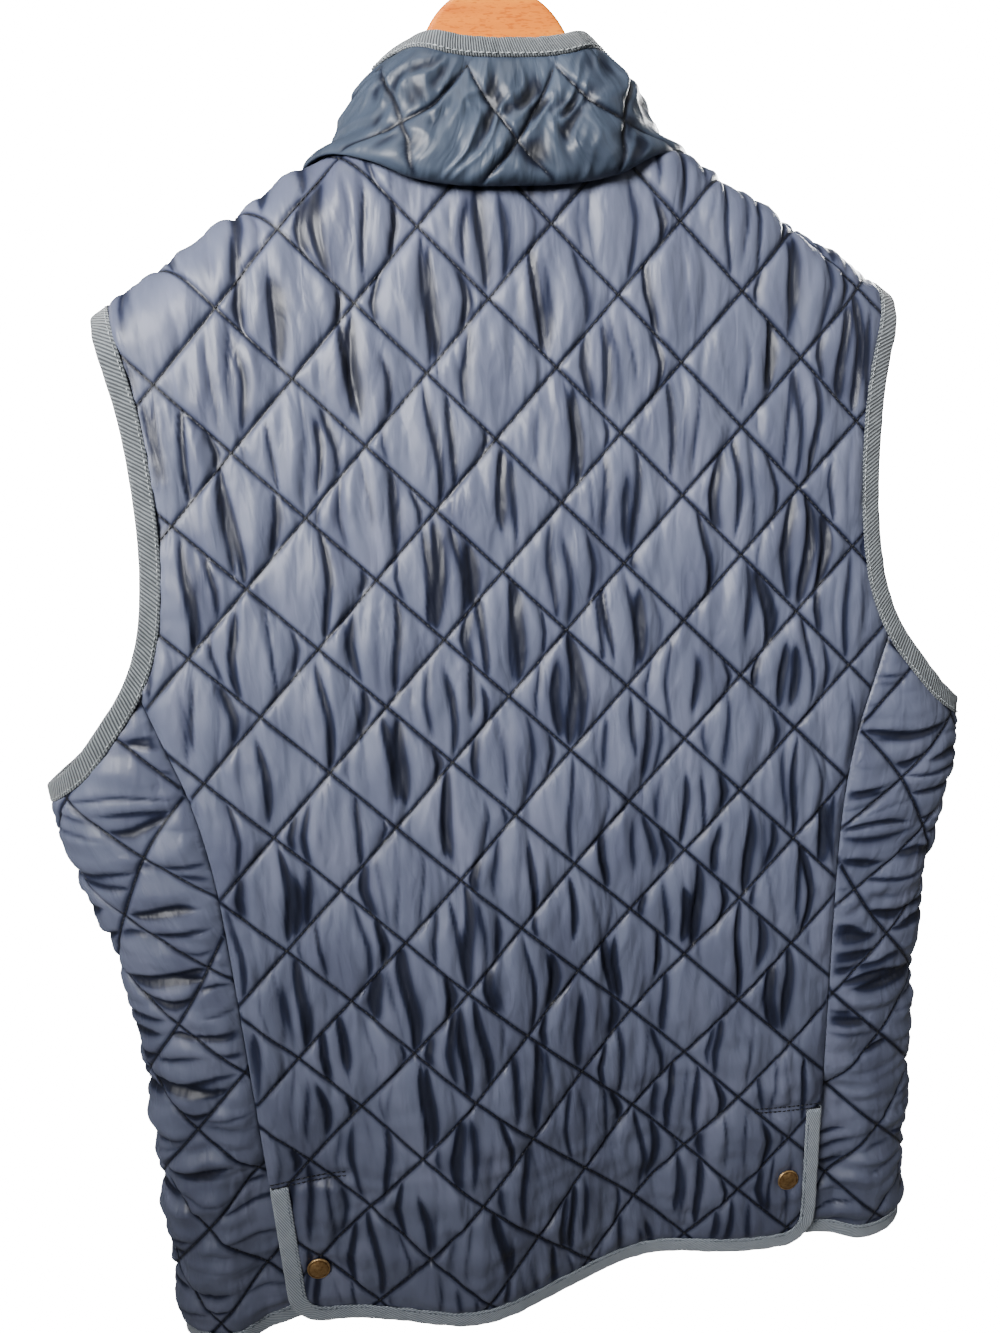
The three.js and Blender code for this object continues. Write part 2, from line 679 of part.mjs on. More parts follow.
// A press stud's cap, domed with a turned edge, lying on the cloth.
function studCap() {
  const profile = [
    [0, 0],
    [STUD_RADIUS - 0.4, 0],
    [STUD_RADIUS, 0.5],
    [STUD_RADIUS - 0.2, 1.2],
    [STUD_RADIUS - 1.4, STUD_RISE - 0.4],
    [0, STUD_RISE],
  ];
  return new THREE.LatheGeometry(profile.map(([r, y]) => new THREE.Vector2(r, y)), 14);
}

function stud(name, face, place) {
  const base = onCloth(face, place.across, place.height, WALL + 2 * SEAM_GAP);
  const tip = onCloth(face, place.across, place.height, WALL + 10);
  const mesh = piece(name, studCap(), "stud");
  mesh.position.copy(base);
  mesh.quaternion.setFromUnitVectors(new THREE.Vector3(0, 1, 0), tip.sub(base).normalize());
  return mesh;
}

// The hanger: one flat board, domed at the neck, with arms that the shoulder seams rest on.
function hangerOutline() {
  const top = (x) => shoulderLine(x) - SEAT_GAP;
  const shape = new THREE.Shape();
  const shoulder = 108;
  const joinAngle = -0.12;
  const join = new THREE.Vector2(DOME_RADIUS * Math.cos(joinAngle), DOME_HEIGHT + DOME_RADIUS * Math.sin(joinAngle));
  const under = 14;
  shape.moveTo(0, shoulderLine(0) - 62);
  shape.quadraticCurveTo(40, shoulderLine(0) - 64, 78, top(78) - ARM_HEIGHT - 4);
  shape.lineTo(HANGER_END - under, top(HANGER_END) - ARM_HEIGHT + 8);
  shape.quadraticCurveTo(HANGER_END + 3, top(HANGER_END) - ARM_HEIGHT, HANGER_END, top(HANGER_END));
  shape.lineTo(shoulder, top(shoulder));
  shape.quadraticCurveTo(60, NECK_SIDE_HEIGHT + 3, join.x, join.y);
  shape.absarc(0, DOME_HEIGHT, DOME_RADIUS, joinAngle, Math.PI - joinAngle, false);
  shape.quadraticCurveTo(-60, NECK_SIDE_HEIGHT + 3, -shoulder, top(shoulder));
  shape.lineTo(-HANGER_END, top(HANGER_END));
  shape.quadraticCurveTo(-HANGER_END - 3, top(HANGER_END) - ARM_HEIGHT, under - HANGER_END, top(HANGER_END) - ARM_HEIGHT + 8);
  shape.lineTo(-78, top(78) - ARM_HEIGHT - 4);
  shape.quadraticCurveTo(-40, shoulderLine(0) - 64, 0, shoulderLine(0) - 62);
  return shape;
}

function hanger() {
  const board = new THREE.ExtrudeGeometry(hangerOutline(), {
    depth: HANGER_THICK - 2 * HANGER_ROUND,
    bevelThickness: HANGER_ROUND,
    bevelSize: HANGER_ROUND,
    bevelOffset: -HANGER_ROUND,
    bevelSegments: 2,
    curveSegments: 6,
  });
  board.rotateX(Math.PI / 2).translate(0, MIDDLE + HANGER_THICK / 2 - HANGER_ROUND, 0);
  const bore = new THREE.CylinderGeometry(WIRE_RADIUS + SEAM_GAP, WIRE_RADIUS + SEAM_GAP, 2 * STEM_DEPTH + 2, 16);
  bore.rotateX(Math.PI / 2).translate(0, MIDDLE, DOME_HEIGHT + DOME_RADIUS);
  const { vertProperties, triVerts } = solid(board).subtract(solid(bore)).getMesh();
  const geometry = new THREE.BufferGeometry();
  geometry.setAttribute("position", new THREE.BufferAttribute(vertProperties, 3));
  geometry.setIndex(new THREE.BufferAttribute(triVerts, 1));
  return geometry;
}

// The hook: a straight stem in the board's bore, then a round crook open to one side.
function hook() {
  const foot = DOME_HEIGHT + DOME_RADIUS;
  const centre = foot + HOOK_STEM + HOOK_RADIUS;
  const path = new THREE.CurvePath();
  const bend = (angle) => new THREE.Vector3(HOOK_RADIUS * Math.cos(angle), MIDDLE, centre + HOOK_RADIUS * Math.sin(angle));
  const turn = [];
  const steps = 22;
  for (let i = 0; i <= steps; i++) turn.push(bend(THREE.MathUtils.lerp(-0.25 * Math.PI, 1.08 * Math.PI, i / steps)));
  const low = new THREE.Vector3(0, MIDDLE, foot - STEM_DEPTH);
  const rise = new THREE.Vector3(0, MIDDLE, foot + HOOK_STEM * 0.35);
  path.add(new THREE.CatmullRomCurve3([low, new THREE.Vector3(0, MIDDLE, foot), rise, ...turn], false, "centripetal"));
  const section = new THREE.Shape().absarc(0, 0, WIRE_RADIUS, 0, 2 * Math.PI, false);
  return new THREE.ExtrudeGeometry(section, { steps: 26, extrudePath: path.curves[0], curveSegments: 4 });
}

// The vest and its hanger
const QUILT_BACK = { across: 16.5, height: 194.8 };
const QUILT_LEFT = { across: 18, height: 190 };
const QUILT_RIGHT = { across: -18, height: 190 };

function panels() {
  const hole = armholeHole(1);
  const back = cutPanel({ face: 1, outline: backOutline(), origin: QUILT_BACK, without: [hole, mirrored(hole)], studs: VENT_STUDS, lay: flat });
  const outline = frontOutline();
  const frontHole = armholeHole(-1);
  const left = cutPanel({ face: -1, outline, origin: QUILT_LEFT, without: [frontHole], studs: frontStudPlaces(), lay: layLeft });
  const right = cutPanel({ face: -1, outline: mirrored(outline), origin: QUILT_RIGHT, without: [mirrored(frontHole)], studs: [], lay: layRight });
  return [piece("back", back, "quilt"), piece("front_left", left, "quilt"), piece("front_right", right, "quilt")];
}

function frontStudPlaces() {
  return Array.from({ length: FRONT_STUDS }, (_, i) => ({
    across: 4,
    height: THREE.MathUtils.lerp(FRONT_STUD_TOP, FRONT_STUD_BOTTOM, i / (FRONT_STUDS - 1)),
  }));
}

function bindings() {
  const half = backHemHalf();
  const hemRun = [...half, ...mirrored(half).slice(1)];
  const front = frontEdge();
  const frontRight = front.map(([x, y]) => [-x, y]);
  return [
    piece("armhole_binding_left", armholeBinding(1), "binding"),
    piece("armhole_binding_right", armholeBinding(-1), "binding"),
    piece("back_binding", openBinding(1, hemRun, -1, flat), "binding"),
    piece("front_binding_left", openBinding(-1, front, -1, layLeft), "binding"),
    piece("front_binding_right", openBinding(-1, frontRight, 1, layRight), "binding"),
    piece("collar_binding", collarBinding(), "binding"),
  ];
}

function studs() {
  return [
    ...VENT_STUDS.map((place) => stud(place.name, 1, place)),
    ...frontStudPlaces().map((place, i) => stud(`front_stud_${i + 1}`, -1, place)),
  ];
}

const vest = new THREE.Group();
vest.add(...panels(), piece("collar", collar(), "quilt"), ...bindings(), ...studs());

const hanging = new THREE.Group();
hanging.add(vest, piece("hanger", hanger(), "wood"), piece("hook", hook(), "steel"));
hanging.position.set(0, -MIDDLE, -SEAT_HEIGHT);

const whole = new THREE.Group();
whole.add(hanging);

export default whole;
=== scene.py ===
# %% [markdown]
# # A diamond-quilted vest on a wooden hanger
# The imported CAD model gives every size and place. This file dresses it: each soft piece is worked
# out again as a finer surface with numpy, and each gets a material made of nodes. All lengths in the
# tables are millimetres, as a pattern cutter writes them, and they become metres at the very end.

import math

import bpy
import numpy as np
from mathutils import Matrix, Vector
from mathutils.geometry import delaunay_2d_cdt


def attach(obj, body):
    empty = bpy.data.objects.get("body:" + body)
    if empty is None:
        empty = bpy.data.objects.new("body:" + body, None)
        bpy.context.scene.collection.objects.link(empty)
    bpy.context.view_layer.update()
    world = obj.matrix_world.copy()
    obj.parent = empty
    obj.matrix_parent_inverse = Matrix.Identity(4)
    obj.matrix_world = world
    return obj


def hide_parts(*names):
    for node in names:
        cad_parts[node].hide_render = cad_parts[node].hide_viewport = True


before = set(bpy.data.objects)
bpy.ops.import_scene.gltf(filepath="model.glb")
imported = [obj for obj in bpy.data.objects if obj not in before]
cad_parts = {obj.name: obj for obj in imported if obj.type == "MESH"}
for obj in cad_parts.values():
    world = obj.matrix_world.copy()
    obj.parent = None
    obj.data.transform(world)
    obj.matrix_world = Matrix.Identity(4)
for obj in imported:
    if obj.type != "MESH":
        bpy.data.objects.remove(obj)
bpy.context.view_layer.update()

# %% [markdown]
# ## The camera
# The vest is seen from behind, a little from above and from its left. A camera is three directions
# and a focal length: here the length is given in pixels of a picture 1333 pixels high, and the
# sensor is 36 mm high, so the lens in millimetres follows from the two.

# %% Camera
def camera_from(place, right, down, forward, focal_pixels, picture_height):
    """The camera's own axes are right, up and backwards, as the columns of its matrix."""
    data = bpy.data.cameras.new("camera")
    data.sensor_fit = "VERTICAL"
    data.sensor_height = 36
    data.lens = 36 * focal_pixels / picture_height
    axes = np.array([right, -np.array(down), -np.array(forward)]).T
    camera = bpy.data.objects.new("camera", data)
    bpy.context.scene.collection.objects.link(camera)
    camera.matrix_world = Matrix.Translation(place) @ Matrix(axes.tolist()).to_4x4()
    bpy.context.scene.camera = camera
    return camera


forward = np.array([-0.134, -0.965, -0.225])
camera = camera_from(
    place=(0.095, 0.574, -0.312),
    right=(-0.98751894, 0.14901671, -0.05099373),
    down=(0.08274574, 0.21537949, -0.9730184),
    forward=forward / np.linalg.norm(forward),
    focal_pixels=960,
    picture_height=1333,
)
print("lens:", round(camera.data.lens, 2), "mm")

# %% [markdown]
# ## Meshes from arrays
# A mesh is three long lists: points, the corners of its faces, and a UV place for each corner. When
# they are numpy arrays, foreach_set copies a whole list at once, which is much faster than adding
# points one by one. Every piece goes through this one function.

# %% Make a mesh from arrays
SEAT_HEIGHT = 504  # the hook's seat is the origin, and the tables measure heights from the underarm


def to_metres(points):
    """Millimetres from the underarm line to metres from the hook's seat."""
    return (np.asarray(points, float) - [0, 0, SEAT_HEIGHT]) * 0.001


def volume(points, faces):
    """The sum of the pyramids from the first point to every triangle: negative if inside out."""
    total = 0.0
    for block in faces:
        for k in range(1, block.shape[1] - 1):
            a, b, c = (points[block[:, n]] - points[0] for n in (0, k, k + 1))
            total += float(np.einsum("ij,ij->i", a, np.cross(b, c)).sum()) / 6
    return total


def add_piece(name, points, faces, uv, material, smooth=True):
    """faces is a list of arrays, each with one row of corners per face; uv has a row per point."""
    mesh = bpy.data.meshes.new(name)
    points = np.asarray(points, float)
    if volume(points, faces) < 0:
        faces = [block[:, ::-1] for block in faces]
    corners = np.concatenate([np.ravel(block) for block in faces]).astype(np.int32)
    sizes = np.concatenate([np.full(len(block), block.shape[1]) for block in faces])
    mesh.vertices.add(len(points))
    mesh.vertices.foreach_set("co", to_metres(points).astype(np.float32).ravel())
    mesh.loops.add(len(corners))
    mesh.loops.foreach_set("vertex_index", corners)
    mesh.polygons.add(len(sizes))
    mesh.polygons.foreach_set("loop_start", np.concatenate([[0], np.cumsum(sizes)[:-1]]).astype(np.int32))
    mesh.polygons.foreach_set("use_smooth", np.full(len(sizes), smooth))
    layer = mesh.uv_layers.new(name="cloth")
    layer.data.foreach_set("uv", (np.asarray(uv)[corners] * 0.001).astype(np.float32).ravel())
    mesh.update(calc_edges=True)
    mesh.validate()
    mesh.materials.append(material)
    piece = bpy.data.objects.new(name, mesh)
    bpy.context.scene.collection.objects.link(piece)
    print(f"{name}: {int((sizes - 2).sum())} triangles")
    return piece


def grid_faces(rows, columns, close_rows=False, close_columns=False):
    """Four-cornered faces of a grid of points stored row by row."""
    i = np.arange(rows if close_rows else rows - 1)[:, None]
    j = np.arange(columns if close_columns else columns - 1)[None, :]
    a = i * columns + j
    b = (i + 1) % rows * columns + j
    c = (i + 1) % rows * columns + (j + 1) % columns
    d = i * columns + (j + 1) % columns
    return np.stack([a, b, c, d], axis=-1).reshape(-1, 4)


# %% [markdown]
# ## Small helpers for smooth shapes
# Three helpers carry most of the work. `ease` is a soft step from 0 to 1. `smooth_table` reads a
# short table as a smooth curve. `noise` is gradient noise: random slopes at whole numbers, blended
# in between, always the same for the same seed. Cloth is full of it.

# %% Ease, tables and noise
def ease(t):
    """0 below 0, 1 above 1, and 3t^2 - 2t^3 between."""
    t = np.clip(t, 0, 1)
    return t * t * (3 - 2 * t)


def smooth_table(rows, at):
    """A cubic between rows, whose slope at a row is the slope between that row's neighbours."""
    rows = np.asarray(rows, float)
    places, values = rows[:, 0], rows[:, 1:]
    last = len(rows) - 1
    at = np.clip(np.asarray(at, float), places[0], places[-1])
    i = np.clip(np.searchsorted(places, at) - 1, 0, last - 1)
    below, above = np.maximum(np.arange(last + 1) - 1, 0), np.minimum(np.arange(last + 1) + 1, last)
    slopes = (values[above] - values[below]) / (places[above] - places[below])[:, None]
    span = (places[i + 1] - places[i])[..., None]
    t = (at[..., None] - places[i][..., None]) / span
    return (
        (2 * t**3 - 3 * t**2 + 1) * values[i]
        + (t**3 - 2 * t**2 + t) * slopes[i] * span
        + (3 * t**2 - 2 * t**3) * values[i + 1]
        + (t**3 - t**2) * slopes[i + 1] * span
    )


def noise(x, y, seed):
    """Gradient noise, about -1 to 1: four corner slopes of each unit square, blended by ease."""
    angle = np.random.default_rng(seed).uniform(0, 2 * np.pi, (64, 64))
    x, y = np.broadcast_arrays(np.asarray(x, float), np.asarray(y, float))
    i, j = np.floor(x).astype(int), np.floor(y).astype(int)
    u, v = x - i, y - j

    def corner(di, dj):
        a = angle[(i + di) % 64, (j + dj) % 64]
        return np.cos(a) * (u - di) + np.sin(a) * (v - dj)

    left = corner(0, 0) * (1 - ease(v)) + corner(0, 1) * ease(v)
    right = corner(1, 0) * (1 - ease(v)) + corner(1, 1) * ease(v)
    return 1.6 * (left * (1 - ease(u)) + right * ease(u))


# %% [markdown]
# ## The body that the cloth hangs on
# A vest is cut flat, so each place in it has two numbers: how far it lies from the centre of its
# face, measured in the cloth, and its height. This step turns the two into a point in space. The
# cross-section is a flat loop: straight over the back, then a turn round the side whose heading
# eases from outward to inward. Near the top the cloth rolls over the shoulder line. Done this way,
# quilting drawn in the flat keeps its true size on the hanging vest.

# %% Sizes of the body
BOW = 8
SHOULDER_SLOPE = 0.6
NECK_HALF = 102
NECK_SIDE_HEIGHT = 340
# height, half width, depth
SECTIONS = [
    (-420, 259, 82), (-345, 261, 82), (-205, 260, 80), (-130, 263, 78),
    (-65, 275, 77), (-20, 284, 76), (40, 286, 74), (420, 286, 72),
]
# face (back 1, front -1), across, spread, how far it stands out at the hem
FOLDS = [
    (1, 58, 48, 17), (1, -64, 50, -16), (1, 150, 30, -4),
    (-1, 118, 46, 9), (-1, -112, 50, 8), (-1, -190, 30, -6),
]
FOLD_START = 80
FOLD_RUN = 440
# The wearer's left side is drawn in a little, from this far out and this far up.
SQUEEZE = 8
SQUEEZE_OUT, SQUEEZE_OUT_RUN = 195, 75
SQUEEZE_TOP, SQUEEZE_TOP_RUN = 60, 170

STEPS = 80
heading = np.pi * ease((np.arange(STEPS) + 0.5) / STEPS)
TURN_AT = np.arange(STEPS + 1) / STEPS
TURN_OUT = np.concatenate([[0], np.cumsum(np.cos(heading)) / STEPS])
TURN_AWAY = np.concatenate([[0], np.cumsum(np.sin(heading)) / STEPS])
print("a side turn reaches out", round(TURN_OUT[STEPS // 2], 3), "of its cloth")


# %% From the flat cloth to the hanging body
def section(height):
    """Half width, depth, length of the side turn and of the straight part at a height."""
    half_width, depth = np.moveaxis(smooth_table(SECTIONS, height), -1, 0)
    turn = depth / TURN_AWAY[-1]
    return half_width, depth, turn, half_width - turn * TURN_OUT[STEPS // 2]


def around(height):
    """The cloth's length from the centre of one face to the centre of the other."""
    _, _, turn, flat = section(height)
    return 2 * flat + turn


def half_depth(half_width, depth, x):
    """Half of the body's depth, less towards the sides: the panels bow a little."""
    return depth / 2 - BOW * (x / half_width) ** 2


def shoulder_line(x):
    return NECK_SIDE_HEIGHT - SHOULDER_SLOPE * (x - NECK_HALF)


def shoulder_seam(across):
    """The seam's height in the cloth: the line plus the length that rolls over the shoulder."""
    half_width, depth, _, _ = section(np.full(np.shape(across), float(NECK_SIDE_HEIGHT)))
    return shoulder_line(across) + half_depth(half_width, depth, across) * (np.pi / 2 - 1)


def plain_point(face, across, up):
    """Straight part plus side turn gives x; the rest of the turn and the roll over the shoulder give
    y and z. The second result is 1 on the face, 0 at the very side, -1 on the other face."""
    half_width, depth, turn, flat = section(up)
    s = np.abs(across)
    t = np.clip((s - flat) / turn, 0, 1)
    x = np.minimum(s, flat) + turn * np.interp(t, TURN_AT, TURN_OUT) - np.maximum(s - flat - turn, 0)
    way = 1 - 2 * np.interp(t, TURN_AT, TURN_AWAY) / TURN_AWAY[-1]
    half = half_depth(half_width, depth, x)
    start = shoulder_line(x) - half
    angle = np.clip((up - start) / half, 0, np.pi / 2)
    z = np.where(up < start, up, start + half * np.sin(angle))
    y = face * way * half * np.cos(angle)
    return np.stack([np.where(across < 0, -x, x), y, z], axis=-1), face * way


def on_cloth(face, across, up, height):
    """A point at a height over the inner face of the cloth, hanging folds included: the plain point,
    moved along the outward normal, which is the cross product of the two directions in the cloth."""
    across, up = np.broadcast_arrays(np.asarray(across, float), np.asarray(up, float))
    step = 0.5
    point, way = plain_point(face, across, up)
    along = plain_point(face, across + step, up)[0] - plain_point(face, across - step, up)[0]
    rise = plain_point(face, across, up + step)[0] - plain_point(face, across, up - step)[0]
    outward = np.cross(rise, along) * face
    outward /= np.linalg.norm(outward, axis=-1, keepdims=True)
    x, z = point[..., 0], point[..., 2]
    fold = np.zeros_like(x)
    for side, place, spread, out in FOLDS:
        fold += np.where(way * side > 0, out * np.exp(-(((x - place) / spread) ** 2)), 0)
    fold *= ease((FOLD_START - z) / FOLD_RUN) * np.abs(way)
    point = point + outward * (np.asarray(height) + fold)[..., None]
    squeezed = ease((x - SQUEEZE_OUT) / SQUEEZE_OUT_RUN) * ease((SQUEEZE_TOP - z) / SQUEEZE_TOP_RUN)
    point[..., 0] -= SQUEEZE * squeezed
    return point


print("across the body at the underarm:", round(float(section(np.array(0.0))[0]) * 2), "mm")

# %% [markdown]
# ## Pattern pieces
# Each panel is a flat outline, as a cutter would draw it: neck, shoulder, armhole, side seam and
# hem. The back is narrower than the body, and the fronts come round the sides to meet it. Smooth
# edges come from splines through a few measured places, sampled every few millimetres.

# %% Curves in the flat
def spaced(points, spacing):
    """The same run, with a point about every so many millimetres."""
    points = np.asarray(points, float)
    run = np.concatenate([[0], np.cumsum(np.linalg.norm(np.diff(points, axis=0), axis=1))])
    count = max(2, int(round(run[-1] / spacing)) + 1)
    at = np.linspace(0, run[-1], count)
    return np.stack([np.interp(at, run, points[:, k]) for k in range(points.shape[1])], axis=1)


def spline(points, spacing, samples=24):
    """A Catmull-Rom curve: at each place it heads along the line between its two neighbours."""
    p = np.asarray(points, float)
    last = len(p) - 1
    slope = (p[np.minimum(np.arange(last + 1) + 1, last)] - p[np.maximum(np.arange(last + 1) - 1, 0)]) / 2
    at = np.linspace(0, last, last * samples + 1)
    i = np.minimum(at.astype(int), last - 1)
    t = (at - i)[:, None]
    curve = (
        (2 * t**3 - 3 * t**2 + 1) * p[i]
        + (t**3 - 2 * t**2 + t) * slope[i]
        + (3 * t**2 - 2 * t**3) * p[i + 1]
        + (t**3 - t**2) * slope[i + 1]
    )
    return spaced(curve, spacing)


def moved(run, distance, loop=False):
    """The run moved to its left: each point goes along the normal of its neighbours' line."""
    run = np.asarray(run, float)
    if loop:
        along = np.roll(run, -1, axis=0) - np.roll(run, 1, axis=0)
    else:
        last = len(run) - 1
        along = run[np.minimum(np.arange(last + 1) + 1, last)] - run[np.maximum(np.arange(last + 1) - 1, 0)]
    along /= np.linalg.norm(along, axis=1, keepdims=True)
    return run + distance * np.stack([-along[:, 1], along[:, 0]], axis=1)


def mirrored(run):
    return (np.asarray(run) * [-1, 1])[::-1]


# %% Edges of the vest
SPACING = 3.0
BAND = 11
NECK_BACK = 326
NECK_FRONT = 262
TIP_HALF = 226
VENT_TOP = -258
HEM_BACK = -366
HEM_FRONT = -384
HEM_UNDERLAP = -358
CORNER = 26
UNDERLAP = 50
FRONT_LAP = 15
STEP_IN = 9
STEP_RUN = 26
STEP_MARGIN = 8  # the step is finished this far before the edge that covers it
ARMHOLE_LOWEST = 12
SEAM_TOP = 104
SEAM_GAP = 0.2  # each panel stops this far short of a seam
HEM_RISE_FROM = 120  # the front hem rises to the underlap from here on
ABOVE_SEAM = 60  # an armhole's hole is closed this far above the shoulder seam
# height, across
BACK_SEAM = [(-258, 185), (-160, 189), (-70, 193), (-30, 197), (5, 204), (37, 214), (66, 223), (110, 238)]
# across, height
ARMHOLE_BACK = [
    (222, 258), (214, 212), (212, 165), (214, 130), (220, 98), (231, 72), (247, 50), (266, 29), (288, 16),
]
ARMHOLE_FRONT = [
    (223, 258), (209, 208), (202, 165), (204, 128), (212, 94), (226, 66), (246, 43), (270, 25), (290, 15),
]


def seam_across(height):
    return smooth_table(BACK_SEAM, height)[..., 0]


def neckline(face, steps=64):
    """Back: rises with the cube of the way out. Front: a deep round scoop, a circle's quarter that
    stops just short of upright and is a little shallower near the shoulder."""
    side = float(shoulder_seam(np.array(float(NECK_HALF)))) - SEAM_GAP
    t = np.arange(steps + 1) / steps
    if face > 0:
        return np.stack([NECK_HALF * t, NECK_BACK + (side - NECK_BACK) * t**3], axis=1)
    t = np.sin(np.pi / 2 * t)
    rise = 1 - np.sqrt(1 - (0.985 * t) ** 2) * (1 - 0.15 * t)
    return np.stack([NECK_HALF * t, NECK_FRONT + (side - NECK_FRONT) * rise], axis=1)


def armhole_half(face):
    """From the tip of the shoulder to the lowest point under the arm, in one face's cloth."""
    tip = (TIP_HALF, float(shoulder_seam(np.array(float(TIP_HALF)))))
    lowest = (float(around(np.array(float(ARMHOLE_LOWEST)))) / 2, ARMHOLE_LOWEST)
    return spline([tip, *(ARMHOLE_BACK if face > 0 else ARMHOLE_FRONT), lowest], SPACING)


def from_other_side(run):
    """The same places measured from the other centre line."""
    run = np.asarray(run, float)
    return np.stack([around(run[:, 1]) - run[:, 0], run[:, 1]], axis=1)


def armhole_hole(face, inset):
    """The whole armhole in one face's cloth, wider all round by the inset."""
    near, far = armhole_half(face), armhole_half(-face)
    over = from_other_side(far[:-1])[::-1]
    loop = np.vstack([near[:1] + [0, ABOVE_SEAM], near, over, over[-1:] + [0, ABOVE_SEAM]])
    return moved(loop, -inset, loop=True)


def shoulder_run():
    """A little longer than the shoulder: the armhole cuts off what is past its tip."""
    across = np.linspace(NECK_HALF, TIP_HALF + 12, 48)
    return np.stack([across, shoulder_seam(across) - SEAM_GAP], axis=1)


def seam_run():
    height = np.linspace(SEAM_TOP, VENT_TOP, 122)
    return np.stack([seam_across(height), height], axis=1)


def arc(centre, start, end, radius=CORNER, steps=14):
    angle = np.linspace(start, end, steps)
    return np.stack([centre[0] + radius * np.cos(angle), centre[1] + radius * np.sin(angle)], axis=1)


def back_hem_half():
    """From the top of the vent down, round the corner and along the hem to the centre."""
    edge = float(seam_across(VENT_TOP)) - 0.5
    corner = arc((edge - 3 - CORNER, HEM_BACK + CORNER), 0, -np.pi / 2)
    return spaced(np.vstack([[(edge, VENT_TOP - 1)], corner, [(0, HEM_BACK)]]), SPACING)


def front_edge():
    """From the underlap's end along the hem, round the corner and up the front to the neck."""
    end = float(around(np.array(float(HEM_FRONT))) - seam_across(VENT_TOP)) + UNDERLAP
    across = np.linspace(end, HEM_RISE_FROM, 60)
    way = (across - HEM_RISE_FROM) / (end - HEM_RISE_FROM)
    hem = np.stack([across, HEM_FRONT + (HEM_UNDERLAP - HEM_FRONT) * way**3], axis=1)
    corner = arc((CORNER - FRONT_LAP, HEM_FRONT + CORNER), -np.pi / 2, -np.pi)
    return spaced(np.vstack([hem, corner, [(-FRONT_LAP, NECK_FRONT - 1)]]), SPACING)


print("back hem and vents:", len(back_hem_half()) * 2, "places; front edge:", len(front_edge()))

# %% [markdown]
# ## Outlines of the panels
# The panels slide a little way into the folded binding, so no gap shows beside it. The fronts step
# inwards where the back covers them below the vents, and the right front where the left covers it.

# %% Outlines and steps
TUCK = 3.0  # how far a panel reaches into the binding


def back_outline():
    seam = moved(seam_run(), -SEAM_GAP)
    hem = moved(back_hem_half(), -(BAND - TUCK))
    half = np.vstack([neckline(1), shoulder_run()[1:], seam, hem[1:]])
    return np.vstack([half, mirrored(half)[1:-1]])


def front_outline():
    inner = moved(front_edge(), -(BAND - TUCK))
    inner[:, 1] = np.minimum(inner[:, 1], NECK_FRONT - 1)
    seam = from_other_side(moved(seam_run(), SEAM_GAP))
    under = float(around(np.array(float(VENT_TOP))) - seam_across(VENT_TOP)) + UNDERLAP
    start = [(inner[-1, 0], NECK_FRONT)]
    return np.vstack([start, neckline(-1), shoulder_run()[1:], seam, [(under, VENT_TOP - 1)], inner])


def vent_step(across, up):
    """Inwards by STEP_IN where a side passes under the back."""
    seam = around(up) - seam_across(np.maximum(up, VENT_TOP))
    below = ease((VENT_TOP + 30 - up) / STEP_RUN)
    return -STEP_IN * ease((across - seam + STEP_RUN + STEP_MARGIN) / STEP_RUN) * below


def lap_step(across):
    """Inwards by STEP_IN where the right front passes under the left."""
    return -STEP_IN * ease((FRONT_LAP + STEP_MARGIN + STEP_RUN - across) / STEP_RUN)


def no_step(across, up):
    return 0 * across


def step_left(across, up):
    return vent_step(across, up)


def step_right(across, up):
    return vent_step(-across, up) + lap_step(-across)


print("back outline:", len(back_outline()), "places; front outline:", len(front_outline()), "places")

# %% [markdown]
# ## Cutting cloth on a grid
# A quilted panel needs points exactly on its stitching lines, or the grooves come out ragged. The
# grid is therefore laid along the diamonds, closer together beside the lines, and cut to the outline
# by a constrained Delaunay triangulation, which keeps every outline edge. Triangles that fall
# outside, or in an armhole, are dropped.

# %% Cut a grid to an outline
DIAMOND_HALF_WIDTH = 35.4
DIAMOND_HALF_HEIGHT = 36.4
DIAMOND_SIDE = math.hypot(DIAMOND_HALF_WIDTH, DIAMOND_HALF_HEIGHT)
LINE_SPACING = 2 * DIAMOND_HALF_WIDTH * DIAMOND_HALF_HEIGHT / DIAMOND_SIDE
EDGE_CLEAR = 1.1  # no grid point lies closer to an outline than this
# Stretched sideways in the middle and squeezed at the sides, the grid's short diagonals run the way
# that the creases do, so a narrow crease isn't broken up by the triangles across it.
PLACES = [-500, -235, 235, 500]
PULLED_PLACES = [-500, -271, 271, 500]


def inside(points, outline):
    """Even-odd rule: a point is inside when a ray from it crosses the outline an odd number of times."""
    (x, y), a, b = np.asarray(points).T, outline, np.roll(outline, -1, axis=0)
    odd = np.zeros(len(x), bool)
    for (ax, ay), (bx, by) in zip(a, b):
        if ay != by:
            odd ^= ((ay > y) != (by > y)) & (x < (bx - ax) * (y - ay) / (by - ay) + ax)
    return odd


def edge_distance(points, outlines, reach=40.0):
    """The shortest distance to any edge, up to a reach, and the place along the outline where it is.
    The points are sorted by their first coordinate, so each edge only looks at those near it."""
    order = np.argsort(points[:, 0])
    near = points[order]
    best, where = np.full(len(points), reach), np.zeros(len(points))
    done = 0.0
    for outline in outlines:
        for a, b in zip(outline, np.roll(outline, -1, axis=0)):
            length = math.dist(a, b)
            if length < 1e-9:
                continue
            low, high = np.searchsorted(near[:, 0], (min(a[0], b[0]) - reach, max(a[0], b[0]) + reach))
            some = near[low:high]
            t = np.clip((some - a) @ (b - a) / length**2, 0, 1)
            distance = np.hypot(*(some - a - t[:, None] * (b - a)).T)
            closer = np.flatnonzero(distance < best[low:high])
            best[low + closer], where[low + closer] = distance[closer], (done + t * length)[closer]
            done += length
    back = np.argsort(order)
    return best[back], where[back]


